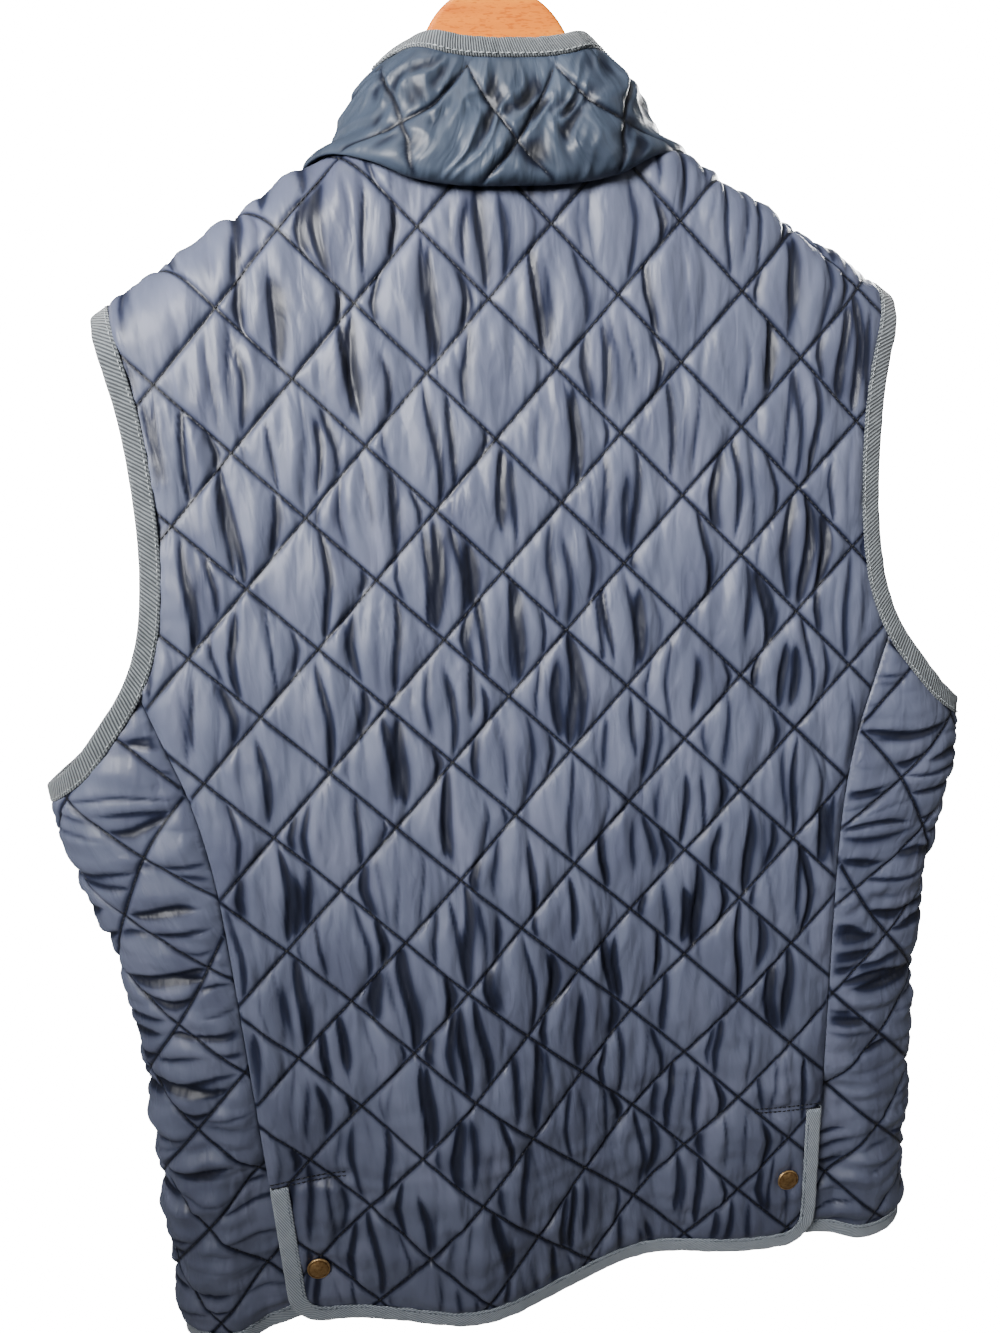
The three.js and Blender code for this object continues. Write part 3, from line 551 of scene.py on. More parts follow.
def cut_grid(outline, holes, origin, cells, crowd):
    """Points at across = (r + c) half widths and up = (r - c) half heights from the origin, for r and
    c in steps of 1/cells, crowded towards whole numbers, where the stitching runs."""
    corners = (outline - origin) / [DIAMOND_HALF_WIDTH, DIAMOND_HALF_HEIGHT]
    rows, columns = (corners[:, 0] + corners[:, 1]) / 2, (corners[:, 0] - corners[:, 1]) / 2
    r = np.arange(math.floor(rows.min()) * cells, math.ceil(rows.max()) * cells + 1) / cells
    c = np.arange(math.floor(columns.min()) * cells, math.ceil(columns.max()) * cells + 1) / cells
    r, c = (k - crowd * np.sin(2 * np.pi * k) / (2 * np.pi) for k in np.meshgrid(r, c, indexing="ij"))
    grid = np.stack([(r + c) * DIAMOND_HALF_WIDTH, (r - c) * DIAMOND_HALF_HEIGHT], axis=-1)
    grid = grid.reshape(-1, 2) + origin
    keep = inside(grid, outline)
    for hole in holes:
        keep &= ~inside(grid, hole)
    grid = grid[keep]
    grid = grid[edge_distance(grid, [outline, *holes])[0] > EDGE_CLEAR]
    loops, edges, count = [outline, *holes], [], 0
    for loop in loops:
        k = np.arange(len(loop))
        edges.append(np.stack([k, np.roll(k, -1)], axis=1) + count)
        count += len(loop)
    flat = np.vstack([*loops, grid])
    pulled = flat.copy()
    pulled[:, 0] = np.interp(flat[:, 0], PLACES, PULLED_PLACES)
    result = delaunay_2d_cdt([Vector(p) for p in pulled.tolist()], np.vstack(edges).tolist(), [], 0, 1e-4)
    points, triangles = np.array([tuple(p) for p in result[0]]), np.array(result[2])
    points[:, 0] = np.interp(points[:, 0], PULLED_PLACES, PLACES)
    middle = points[triangles].mean(axis=1)
    good = inside(middle, outline)
    for hole in holes:
        good &= ~inside(middle, hole)
    triangles = triangles[good]
    used, triangles = np.unique(triangles, return_inverse=True)
    return points[used], triangles.reshape(-1, 3)


def rim(triangles):
    """The edges that belong to one triangle only, in that triangle's direction."""
    edges = np.vstack([triangles[:, [0, 1]], triangles[:, [1, 2]], triangles[:, [2, 0]]])
    key = np.sort(edges, axis=1)
    _, first, count = np.unique(key, axis=0, return_index=True, return_counts=True)
    return edges[first[count == 1]]


print("stitching lines", round(LINE_SPACING, 1), "mm apart")

# %% [markdown]
# ## Materials
# One function turns a hex colour, as a colour picker shows it, into the linear numbers that a shader
# needs. One small function adds a node with its settings and its links, so each material reads like
# a recipe. The cloth materials read the pieces' own UV map, which holds metres of cloth.

# %% Colours, nodes and an empty material
def colour(hex_code):
    """sRGB hex to linear: divided by 12.92 near black, and a power of 2.4 above."""
    parts = [int(hex_code[k : k + 2], 16) / 255 for k in (1, 3, 5)]
    return tuple(c / 12.92 if c <= 0.04045 else ((c + 0.055) / 1.055) ** 2.4 for c in parts) + (1.0,)


def node(tree, kind, settings=None, **inputs):
    """Adds a node. An input is a value, or another node's output to link to; numbers name sockets."""
    new = tree.nodes.new("ShaderNode" + kind)
    for key, value in (settings or {}).items():
        setattr(new, key, value)
    for key, value in inputs.items():
        name = key.replace("_", " ")
        socket = new.inputs[int(key[1:])] if key[0] == "i" and key[1:].isdigit() else new.inputs[name]
        if isinstance(value, bpy.types.NodeSocket):
            tree.links.new(value, socket)
        else:
            socket.default_value = value
    return new


def new_material(name, **shader):
    """A material with one Principled shader, and its tree ready for more nodes."""
    material = bpy.data.materials.new(name)
    material.use_nodes = True
    tree = material.node_tree
    tree.nodes.clear()
    principled = node(tree, "BsdfPrincipled", **shader)
    output = node(tree, "OutputMaterial")
    tree.links.new(principled.outputs["BSDF"], output.inputs["Surface"])
    return material, tree, principled


def ramp(tree, factor, stops):
    """A colour ramp: stops are pairs of a place from 0 to 1 and a hex colour."""
    new = node(tree, "ValToRGB")
    elements = new.color_ramp.elements
    while len(elements) < len(stops):
        elements.new(0.5)
    for element, (place, code) in zip(elements, stops):
        element.position, element.color = place, colour(code)
    tree.links.new(factor, new.inputs["Fac"])
    return new.outputs["Color"]


def multiplied(tree, first, second, share):
    """The first colour times the second, blended in by a share from 0 to 1."""
    settings = {"data_type": "RGBA", "blend_type": "MULTIPLY"}
    return node(tree, "Mix", settings, i0=share, i6=first, i7=second).outputs[2]


# %% [markdown]
# ### Shell: satin-woven nylon
# The shell is a thin, tightly woven nylon with a slight lustre, in a dull slate blue. Its threads are
# about 0.1 mm, too fine to see, so what shows is a fine crinkle of a millimetre or so, cloudy
# changes of shade, and a soft highlight along every crease. Nylon's index of refraction is 1.53. The
# bottoms of the grooves and creases stay dark because little light gets in, and their colour is
# painted darker as painted shade: each mesh carries a number called hollow, worked out with its
# shape, and a ramp turns it into a darker tone. The collar has a second, darker set of tones.

# %% Nylon
def satin_nylon(name, tones):
    material, tree, shader = new_material(name, IOR=1.53, Specular_IOR_Level=0.34)
    place = node(tree, "TexCoord").outputs["UV"]
    hollow = node(tree, "Attribute", {"attribute_name": "hollow"}).outputs["Fac"]
    stretch = node(tree, "Mapping", Vector=place, Scale=(1.0, 0.4, 1.0)).outputs["Vector"]
    cloud = node(tree, "TexNoise", Vector=stretch, Scale=26, Detail=4, Roughness=0.55).outputs["Fac"]
    tint = ramp(tree, cloud, list(zip((0.32, 0.52, 0.72), tones)))
    # painted shade: where hollow is high, in the grooves and creases where shade falls, the ramp darkens the
    # shell's colour towards near black
    wear_and_painted_shade = ramp(tree, hollow, [(0.0, "#FFFFFF"), (0.5, "#6A718A"), (1.0, "#0F1320")])
    both = multiplied(tree, tint, wear_and_painted_shade, 1.0)
    tree.links.new(both, shader.inputs["Base Color"])
    gloss = node(tree, "MapRange", Value=cloud, From_Min=0.3, From_Max=0.7, To_Min=0.42, To_Max=0.54)
    tree.links.new(gloss.outputs["Result"], shader.inputs["Roughness"])
    narrow = node(tree, "Mapping", Vector=place, Scale=(1.0, 0.3, 1.0)).outputs["Vector"]
    crease = node(
        tree, "TexNoise", Vector=narrow, Scale=120, Detail=1.5, Roughness=0.5, Distortion=0.8
    ).outputs["Fac"]
    crinkle = node(tree, "TexNoise", Vector=stretch, Scale=420, Detail=3, Roughness=0.6).outputs["Fac"]
    fine = node(tree, "Bump", Height=crinkle, Strength=0.2, Distance=0.0005)
    bump = node(tree, "Bump", Height=crease, Normal=fine.outputs["Normal"], Strength=0.3, Distance=0.004)
    tree.links.new(bump.outputs["Normal"], shader.inputs["Normal"])
    return material


NYLON = satin_nylon("slate blue satin nylon", ("#4A4E61", "#555A6D", "#62667A"))
COLLAR_NYLON = satin_nylon("slate blue satin nylon, darker collar", ("#2D3542", "#363F4D", "#414B5B"))
print(NYLON.name, "and", COLLAR_NYLON.name)

# %% [markdown]
# ### Quilting
# The puffs are flat-topped: wadding fills each diamond, and the thread pulls it down in a narrow
# groove. So the height over the lines is a product of two terms, one for each set of lines, that rise
# quickly from 0 and level off. The nylon has more length than the wadding, so each diamond has a few
# narrow creases: they run up the back, and across at the sides, where the cloth turns round the
# body. Wider folds run over several diamonds, and edges get small puckers that die out inwards. The
# creases are real geometry, because a bump in the material would leave the mesh smooth.

# %% Heights over the cloth
WALL = 2.6
PAD = 3.6
GROOVE = 1.3  # beside a line the padding rises within a few times this
ROUNDING = 9  # and a diamond's top is rounded off within this
FOOT_TOP, FOOT_RUN = -130, 160  # below this the creases fade and folds across begin
CREASES = 5  # in each diamond
CREASE_FIRST, CREASE_STEP = -0.8, 0.32  # places from -1 to 1 over a diamond's width


def lattice(across, up, origin):
    """Distances to the two sets of lines, and the place in the diamond: u sideways, v upwards."""
    a, b = (across - origin[0]) / DIAMOND_HALF_WIDTH, (up - origin[1]) / DIAMOND_HALF_HEIGHT
    r, c = (a + b) / 2, (a - b) / 2
    i, j = np.floor(r), np.floor(c)
    p, q = r - i, c - j
    to_lines = [np.minimum(k, 1 - k) * LINE_SPACING for k in (p, q)]
    return to_lines, p + q - 1, p - q, (i.astype(int), j.astype(int))


def creases(u, v, cell, seed):
    """Five creases in each diamond. They run up it, a little closer together towards its top and
    bottom corners, each over its own stretch. A crease is a V with one steep and one gentle side: its
    depth times e to the minus distance over width."""
    pick = np.random.default_rng(seed).uniform(0, 1, (48, 48, CREASES, 6))[cell[0] % 48, cell[1] % 48]
    fan = u / (1.06 - 0.22 * np.abs(v))
    total = np.zeros_like(u)
    for k in range(CREASES):
        place, width, depth, sway, middle, length = np.moveaxis(pick[..., k, :], -1, 0)
        bend = 0.06 * np.sin(2.6 * v + 6.3 * sway) + 0.1 * (sway - 0.5) * v
        centre = CREASE_FIRST + CREASE_STEP * (k + place) + bend
        away = fan - centre
        side = np.where(away > 0, 0.03 + 0.025 * width, 0.045 + 0.085 * width)
        stretch = np.exp(-(((v - 0.7 * (middle - 0.5)) / (0.5 + 0.9 * length)) ** 4))
        total -= (0.5 + 4.1 * depth**1.3) * stretch * np.exp(-(np.sqrt(away**2 + 1.6e-4) - 0.0126) / side)
    return total


def pad_height(across, up, origin, side, seed):
    """Height over the stitched cloth, and how much of it the creases take away. side is 0 for
    creases that run up, 1 for across. Each noise is divided by its size in millimetres."""
    (d1, d2), u, v, cell = lattice(across, up, origin)
    puff = (1 - np.exp(-d1 / GROOVE)) * (1 - np.exp(-d2 / GROOVE))
    round_off = (1 - np.exp(-d1 / ROUNDING)) * (1 - np.exp(-d2 / ROUNDING))
    foot = ease((FOOT_TOP - up) / FOOT_RUN)
    loose = 0.8 + 0.3 * ease((60 - up) / 300)
    upright = creases(u, v, cell, seed)
    level = creases(v, u, cell, seed + 1)
    long_fold = noise(across / 12 + 0.6 * noise(across / 34, up / 45, seed + 4), up / 48, seed + 2)
    cross_fold = noise(across / 40, up / 11 + 0.6 * noise(across / 30, up / 34, seed + 5), seed + 3)
    wavy = across / 5.5 + 0.4 * noise(across / 15, up / 20, seed + 7)
    small = 0.5 - np.abs(noise(wavy, up / 24, seed + 6))
    sharp = ((1 - side) * upright + 0.8 * side * level) * (1 - 0.35 * foot)
    wide = (1 - side) * 2.3 * long_fold + (side + 0.7 * foot) * 1.7 * cross_fold
    height = puff * (PAD * (0.42 + 0.95 * round_off) + loose * (sharp + wide + 1.0 * small))
    return height, -puff * loose * (sharp + 0.15 * np.minimum(wide, 0))


def add_hollows(piece, values):
    """How deep each point lies in a groove or crease, from 0 to 1, for the material to read."""
    layer = piece.data.attributes.new("hollow", "FLOAT", "POINT")
    layer.data.foreach_set("value", np.clip(values, 0, 1).astype(np.float32))


sample = np.linspace(-200, 200, 2001)
heights, _ = pad_height(sample, 0.4 * sample, (16.5, 194.8), 0.0, 3)
print("padding over the lines:", heights.min().round(2), "to", heights.max().round(2), "mm")

# %% [markdown]
# ### A quilted panel
# The outer surface is a fine grid and the plain inner one a coarser grid, cut to the same outline.
# A wall of triangles joins the two along the outline, so the panel is one closed skin, as a real
# quilted panel is two layers with wadding between.

# %% Panels
OUTER_CELLS, INNER_CELLS = 27, 7  # steps of each grid along a diamond's side
CROWD = 0.3  # how far the outer grid's steps crowd towards the lines
SIDE_FROM, SIDE_RUN = 200, 80  # where creases turn from running up to running across
EDGE_FLAT = 2.0  # the padding starts this far from an edge
BAR_CLAMP = 2.4
CAP_CLAMP = 7.4


def on_panel(face, flat, level, step):
    """The flat points laid on the body, at a height above the inner face."""
    return on_cloth(face, flat[:, 0], flat[:, 1], level + step(flat[:, 0], flat[:, 1]))


def wall_between(top, top_faces, low, low_faces):
    """Four-cornered faces from the rim of the outer grid to the rim of the inner one. Outline points
    are the same in both grids, so their flat places pair them up."""
    ring_top, ring_low = rim(top_faces), rim(low_faces)
    top_ids, low_ids = np.unique(ring_top), np.unique(ring_low)
    flat = np.round(np.vstack([top[top_ids], low[low_ids]]), 3)
    _, key = np.unique(flat, axis=0, return_inverse=True)
    key = key.ravel()
    partner = np.full(key.max() + 1, -1)
    partner[key[len(top_ids):]] = low_ids
    below = np.full(len(top), -1)
    below[top_ids] = partner[key[:len(top_ids)]]
    a, b = ring_top.T
    good = (below[a] >= 0) & (below[b] >= 0)
    print("rim:", len(ring_top), "edges, paired:", int(good.sum()))
    return np.stack([b, a, below[a] + len(top), below[b] + len(top)], axis=1)[good]


def quilted_panel(name, face, outline, holes, origin, step, seed, caps, bars=()):
    """caps are the places of press studs and bars stitched lines: the cloth is clamped flat there."""
    origin = np.array(origin, float)
    top, top_faces = cut_grid(outline, holes, origin, OUTER_CELLS, CROWD)
    low, low_faces = cut_grid(outline, holes, origin, INNER_CELLS, 0.0)
    edge, along = edge_distance(top, [outline, *holes])
    sideways = ease((np.abs(top[:, 0]) - SIDE_FROM) / SIDE_RUN)
    level, sunk = pad_height(top[:, 0], top[:, 1], origin, sideways, seed)
    level *= 1 - np.exp(-np.maximum(edge - EDGE_FLAT, 0) / 4.2)
    for start, end in bars:
        away = edge_distance(top, [np.array([start, end])])[0]
        level *= 1 - np.exp(-np.maximum(away - BAR_CLAMP, 0) / BAR_CLAMP)
    for cap in caps:
        level *= 1 - np.exp(-np.maximum(np.hypot(*(top - cap).T) - CAP_CLAMP, 0) / 4)
    pucker = noise(along / 7.5, edge / 30, seed + 8) * np.exp(-edge / 9) * (1 - np.exp(-edge / 1.5))
    (d1, d2), _, _, _ = lattice(top[:, 0], top[:, 1], origin)
    line = np.exp(-((np.minimum(d1, d2) / 1.15) ** 2))
    # painted shade: hollow is high on the stitched lines and in the deeper creases, and the material paints
    # the colour darker there
    hollow = np.maximum(line, 0.8 * ease((sunk - 0.5) / 1.7) * (1 - np.exp(-edge / 4)))
    level = WALL - 0.7 * np.exp(-edge / 1.2) + np.maximum(level, -0.9) + 1.1 * pucker
    low_edge, _ = edge_distance(low, [outline, *holes])
    (d1, d2), _, _, _ = lattice(low[:, 0], low[:, 1], origin)
    soft = 0.9 * (1 - (1 - np.exp(-d1 / 7)) * (1 - np.exp(-d2 / 7))) * (1 - np.exp(-low_edge / 6))
    points = np.vstack([on_panel(face, top, level, step), on_panel(face, low, soft, step)])
    if face > 0:
        top_faces, low_faces = top_faces[:, ::-1], low_faces[:, ::-1]
    wall = wall_between(top, top_faces, low, low_faces)
    faces = [top_faces, low_faces[:, ::-1] + len(top), wall]
    piece = add_piece(name, points, faces, np.vstack([top, low]), NYLON)
    add_hollows(piece, np.concatenate([hollow, np.zeros(len(low))]))
    return piece


QUILT_BACK = (16.5, 194.8)
QUILT_LEFT = (18.0, 190.0)
QUILT_RIGHT = (-18.0, 190.0)
hole_back = armhole_hole(1, BAND - TUCK)
hole_front = armhole_hole(-1, BAND - TUCK)
VENT_STUDS = {"vent_stud_left": (160, -323), "vent_stud_right": (-160, -311)}
VENT_BARS = [((184, -257), (136, -254)), ((-184, -257), (-136, -254))]
FRONT_STUDS = {f"front_stud_{k + 1}": (4.0, float(z)) for k, z in enumerate(np.linspace(232, -345, 6))}
back = quilted_panel(
    "quilted_back", 1, back_outline(), [hole_back, mirrored(hole_back)], QUILT_BACK, no_step, 3,
    VENT_STUDS.values(), VENT_BARS,
)
front_left = quilted_panel(
    "quilted_front_left", -1, front_outline(), [hole_front], QUILT_LEFT, step_left, 23, FRONT_STUDS.values()
)
front_right = quilted_panel(
    "quilted_front_right", -1, mirrored(front_outline()), [mirrored(hole_front)], QUILT_RIGHT,
    step_right, 43, [],
)

# %% [markdown]
# ## Stitches
# A quilting line is a row of short stitches with the thread dipping into the cloth between them. One
# stitch is a tiny spindle with three rings of four points, and thousands of them are one mesh: the
# rings are worked out for all stitches at once. The shell's thread is a dark blue polyester.

# %% Threads
def thread(name, code):
    """Twisted polyester: fairly matt, its plies shown as fine slanting bumps."""
    material, tree, shader = new_material(name, IOR=1.58, Roughness=0.62)
    place = node(tree, "TexCoord").outputs["UV"]
    shade = node(tree, "TexNoise", Vector=place, Scale=420, Detail=2).outputs["Fac"]
    dark = "#" + "".join(f"{int(int(code[k:k + 2], 16) * 0.78):02X}" for k in (1, 3, 5))
    tree.links.new(ramp(tree, shade, [(0.35, dark), (0.65, code)]), shader.inputs["Base Color"])
    turn = node(tree, "Mapping", Vector=place, Rotation=(0, 0, 0.6)).outputs["Vector"]
    plies = node(tree, "TexWave", Vector=turn, Scale=900).outputs["Fac"]
    bump = node(tree, "Bump", Height=plies, Strength=0.3, Distance=0.0002)
    tree.links.new(bump.outputs["Normal"], shader.inputs["Normal"])
    return material


def stitches(name, starts, ends, normals, radius, material):
    """Spindles: from each start to each end, three square rings, thin at the ends, thick midway."""
    along = ends - starts
    across = np.cross(normals, along)
    across *= radius / np.linalg.norm(across, axis=1, keepdims=True)
    lift = normals * radius
    angle = np.pi / 4 + np.arange(4) * np.pi / 2
    circle = np.cos(angle)[:, None] * across[:, None, :] + np.sin(angle)[:, None] * lift[:, None, :]
    rings = []
    for t, size, rise in ((0, 0.4, -0.6), (0.5, 1, 0.5), (1, 0.4, -0.6)):
        rings.append((starts + along * t + lift * rise)[:, None, :] + circle * size)
    points = np.stack(rings, axis=1).reshape(-1, 3)
    base = grid_faces(3, 4, close_columns=True)
    one = np.vstack([base, [[0, 1, 2, 3]], [[11, 10, 9, 8]]])
    faces = (one[None] + 12 * np.arange(len(starts))[:, None, None]).reshape(-1, 4)
    length = np.repeat(np.arange(len(starts)) * 5.0, 12) + np.tile(np.repeat([0, 1.5, 3], 4), len(starts))
    uv = np.stack([length, np.tile(np.arange(4), 3 * len(starts))], 1)
    return add_piece(name, points, [faces], uv, material)


QUILTING_THREAD = thread("dark blue polyester thread", "#10131B")
BINDING_THREAD = thread("pale grey polyester thread", "#A9AEB0")
QUILT_PITCH = 3.7  # from the start of one stitch to the next
QUILT_STITCH = 2.9
QUILT_RADIUS = 0.36


def line_places(outline, holes, origin, margin):
    """Middles of the stitches on both sets of lines, with the direction of each. The lines reach past
    every panel, and what falls outside the outline is dropped."""
    s = np.arange(-16, 16, QUILT_PITCH / DIAMOND_SIDE)
    k = np.arange(-14, 15)[:, None]
    half = np.array([DIAMOND_HALF_WIDTH, DIAMOND_HALF_HEIGHT])
    middles, ways = [], []
    for sign in (1, -1):
        a, b = k + s, sign * (s - k)
        at = np.stack([a, b], axis=-1).reshape(-1, 2) * half + origin
        middles.append(at)
        ways.append(np.tile(half * [1, sign] / np.hypot(*half), (len(at), 1)))
    middles, ways = np.vstack(middles), np.vstack(ways)
    keep = inside(middles, outline)
    for hole in holes:
        keep &= ~inside(middles, hole)
    middles, ways = middles[keep], ways[keep]
    keep = edge_distance(middles, [outline, *holes])[0] > margin
    return middles[keep], ways[keep]


def quilting(name, face, outline, holes, origin, step):
    """The stitches lie in the grooves, 0.25 mm up. A second point, 1 mm higher, gives the normal."""
    middles, ways = line_places(outline, holes, np.array(origin), TUCK + 1.5)
    half = ways * QUILT_STITCH / 2
    places = (middles - half, middles + half, middles)
    start, end, middle = (on_panel(face, p, WALL + 0.25, step) for p in places)
    over = on_panel(face, middles, WALL + 1.25, step)
    return stitches(name, start, end, over - middle, QUILT_RADIUS, QUILTING_THREAD)


back_quilting = quilting(
    "back_quilting", 1, back_outline(), [hole_back, mirrored(hole_back)], QUILT_BACK, no_step
)
left_quilting = quilting(
    "front_left_quilting", -1, front_outline(), [hole_front], QUILT_LEFT, step_left
)
right_quilting = quilting(
    "front_right_quilting", -1, mirrored(front_outline()), [mirrored(hole_front)], QUILT_RIGHT, step_right
)


def bar_stitches():
    """Two rows, 3 mm apart, along each bar at the top of a vent."""
    starts, ends = [], []
    for bar in VENT_BARS:
        for shift in (-1.5, 1.5):
            rail = spaced(moved(np.array(bar, float), shift), 3.2)
            starts.append(rail[:-1])
            ends.append(rail[:-1] + 0.8 * np.diff(rail, axis=0))
    starts, ends = np.vstack(starts), np.vstack(ends)
    start, end = (on_panel(1, p, WALL + 0.75, no_step) for p in (starts, ends))
    over = on_panel(1, starts, WALL + 1.75, no_step)
    return stitches("vent_bar_stitches", start, end, over - start, 0.5, QUILTING_THREAD)


vent_bars = bar_stitches()

# %% [markdown]
# ### Bindings
# Every free edge is folded into a strip of cloth. Round the armholes and on the collar it is a ribbed
# grey cotton with slanting ribs, and along the hem and the vents a paler, flatter tape. A wave
# texture, turned by 35 degrees, gives the ribs. They are about 1.9 mm apart. Washing has rubbed
# their tops pale and left the dye in between. Cotton scatters light in its fuzz, hence the sheen.

# %% Ribbed cotton and tape
def ribbed_cotton(name, low, middle, high, rib_mm, tilt, strength):
    material, tree, shader = new_material(
        name, IOR=1.5, Roughness=0.9, Sheen_Weight=0.25, Sheen_Roughness=0.6
    )
    place = node(tree, "TexCoord").outputs["UV"]
    turned = node(tree, "Mapping", Vector=place, Rotation=(0, 0, math.radians(tilt))).outputs["Vector"]
    # A wave texture repeats every 2 pi / 20 of its scaled input.
    scale = 1000 * math.pi / (10 * rib_mm)
    ribs = node(
        tree, "TexWave", Vector=turned, Scale=scale, Distortion=1.4, Detail=2, Detail_Scale=0.6
    ).outputs["Fac"]
    wear_and_painted_shade = node(tree, "TexNoise", Vector=place, Scale=90, Detail=4, Roughness=0.65).outputs["Fac"]
    mixed = node(tree, "Mix", {"data_type": "FLOAT"}, i0=0.42, i2=ribs, i3=wear_and_painted_shade).outputs[0]
    tint = ramp(tree, mixed, [(0.22, low), (0.5, middle), (0.8, high)])
    tree.links.new(tint, shader.inputs["Base Color"])
    fuzz = node(tree, "TexNoise", Vector=place, Scale=1400, Detail=2).outputs["Fac"]
    fine = node(tree, "Bump", Height=fuzz, Strength=0.25, Distance=0.0002)
    raised = fine.outputs["Normal"]
    bump = node(tree, "Bump", Height=ribs, Normal=raised, Strength=strength, Distance=0.0006)
    tree.links.new(bump.outputs["Normal"], shader.inputs["Normal"])
    return material


RIB = ribbed_cotton("washed ribbed cotton", "#262A2E", "#484E53", "#7A8083", 1.9, 35, 0.9)
TAPE = ribbed_cotton("pale cotton tape", "#59616B", "#7C848D", "#9BA2A9", 1.3, 62, 0.4)


# %% Folded bands
def fold_section(width=BAND, gap=4.3, thick=0.9, base=-0.75):
    """The section of a folded strip: a leg over the cloth, a half circle round its edge and a leg
    under it. Half the thickness is added on both sides of that line."""
    radius = gap / 2
    leg = np.linspace(width, radius, 6)
    angle = np.linspace(np.pi / 2, 3 * np.pi / 2, 9)[1:-1]
    middle = base + radius
    line = np.vstack([
        np.stack([leg, np.full(6, base + gap)], 1),
        np.stack([radius + radius * np.cos(angle), middle + radius * np.sin(angle)], 1),
        np.stack([leg[::-1], np.full(6, base)], 1),
    ])
    over = moved(line, thick / 2)
    under = moved(line, -thick / 2)
    caps = [line[-1] + [thick / 2, 0]], [line[0] + [thick / 2, 0]]
    return np.vstack([over, caps[0], under[::-1], caps[1]])


def band(name, parts, step, material, loop, seed):
    """parts are (face, run, into): a run in one face's cloth, and the side on which the cloth lies.
    The band waves a little, 0.65 mm high, over 8 mm along it and 16 mm across."""
    shape = fold_section()
    rows = []
    for face, run, into in parts:
        rails = np.stack([moved(run, into * inward) for inward in shape[:, 0]], axis=1)
        a, u = rails[..., 0], rails[..., 1]
        wave = 0.65 * noise(np.arange(len(run))[:, None] * SPACING / 8, shape[None, :, 0] / 16, seed)
        rows.append(on_cloth(face, a, u, shape[None, :, 1] + wave + step(a, u)))
    points = np.concatenate(rows)
    count, around_section = points.shape[:2]
    length = np.concatenate([[0], np.cumsum(np.linalg.norm(np.diff(points[:, 0], axis=0), axis=1))])
    girth = np.concatenate([[0], np.cumsum(np.linalg.norm(np.diff(shape, axis=0), axis=1))])
    uv = np.stack(np.broadcast_arrays(length[:, None], girth[None, :]), axis=-1).reshape(-1, 2)
    faces = [grid_faces(count, around_section, close_rows=loop, close_columns=True)]
    if not loop:
        ends = np.arange(around_section)
        faces += [ends[None], ends[None, ::-1] + (count - 1) * around_section]
    return add_piece(name, points.reshape(-1, 3), faces, uv, material)


def armhole_parts(side):
    place = [side, 1]
    near, far = armhole_half(1) * place, armhole_half(-1) * place
    return [(1, near, -side), (-1, far[1:-1][::-1], side)]


hem_half = back_hem_half()
hem_run = np.vstack([hem_half, mirrored(hem_half)[1:]])
front_run = front_edge()
armhole_left = band("armhole_rib_left", armhole_parts(1), no_step, RIB, True, 61)
armhole_right = band("armhole_rib_right", armhole_parts(-1), no_step, RIB, True, 62)
back_tape = band("back_hem_tape", [(1, hem_run, -1)], no_step, TAPE, False, 63)
left_tape = band("front_left_tape", [(-1, front_run, -1)], step_left, TAPE, False, 64)
right_tape = band("front_right_tape", [(-1, front_run * [-1, 1], 1)], step_right, TAPE, False, 65)

# %% [markdown]
# ### The stitching that holds the bindings
# A row of pale stitches runs along the inner edge of the ribbed binding, and a plainer one in a blue
# grey along the tape. They use the same stitch as the quilting, on a run that is moved inwards.

# %% Binding stitches
TAPE_THREAD = thread("blue grey polyester thread", "#535D6B")
ON_BAND = 4.05  # the height of a band's outer face


def band_stitches(name, parts, step, material, inward=9.7, pitch=3.4, radius=0.42):
    """Starts and ends lie on the top leg of the band, a pitch apart, with a short gap between."""
    starts, ends, normals = [], [], []
    for face, run, into in parts:
        rail = spaced(moved(run, into * inward), pitch)
        start, end = rail[:-1], rail[:-1] + 0.84 * np.diff(rail, axis=0)
        starts.append(on_panel(face, start, ON_BAND, step))
        ends.append(on_panel(face, end, ON_BAND, step))
        normals.append(on_panel(face, start, ON_BAND + 1, step) - starts[-1])
    return stitches(name, *(np.vstack(k) for k in (starts, ends, normals)), radius, material)


threads = [
    band_stitches("armhole_stitches_left", armhole_parts(1), no_step, BINDING_THREAD),
    band_stitches("armhole_stitches_right", armhole_parts(-1), no_step, BINDING_THREAD),
]
tape_threads = [
    band_stitches("back_tape_stitches", [(1, hem_run, -1)], no_step, TAPE_THREAD, radius=0.3),
    band_stitches("left_tape_stitches", [(-1, front_run, -1)], step_left, TAPE_THREAD, radius=0.3),
    band_stitches(
        "right_tape_stitches", [(-1, front_run * [-1, 1], 1)], step_right, TAPE_THREAD, radius=0.3
    ),
]

# %% [markdown]
# ### The collar
# The collar is a soft stand collar: it starts at the neck seam, bulges out over it, and leans in
# towards the hanger at the sides of the neck. It is one closed profile carried round the neckline.
# At each station the profile uses three directions: off the cloth, up the cloth, and away from the
# neck. Low down the first two lead, higher up the collar stands on its own.

# %% Stations round the neck
NECK_STEPS = 116
END_STEPS = 13
LOOK = 10  # the direction along the neck is taken over this many stations on both sides
END_FADE = 55  # the collar's fullness grows over this length from its front ends
SIDE_REACH = 92  # this far from the middle the collar lies as it does at the shoulders


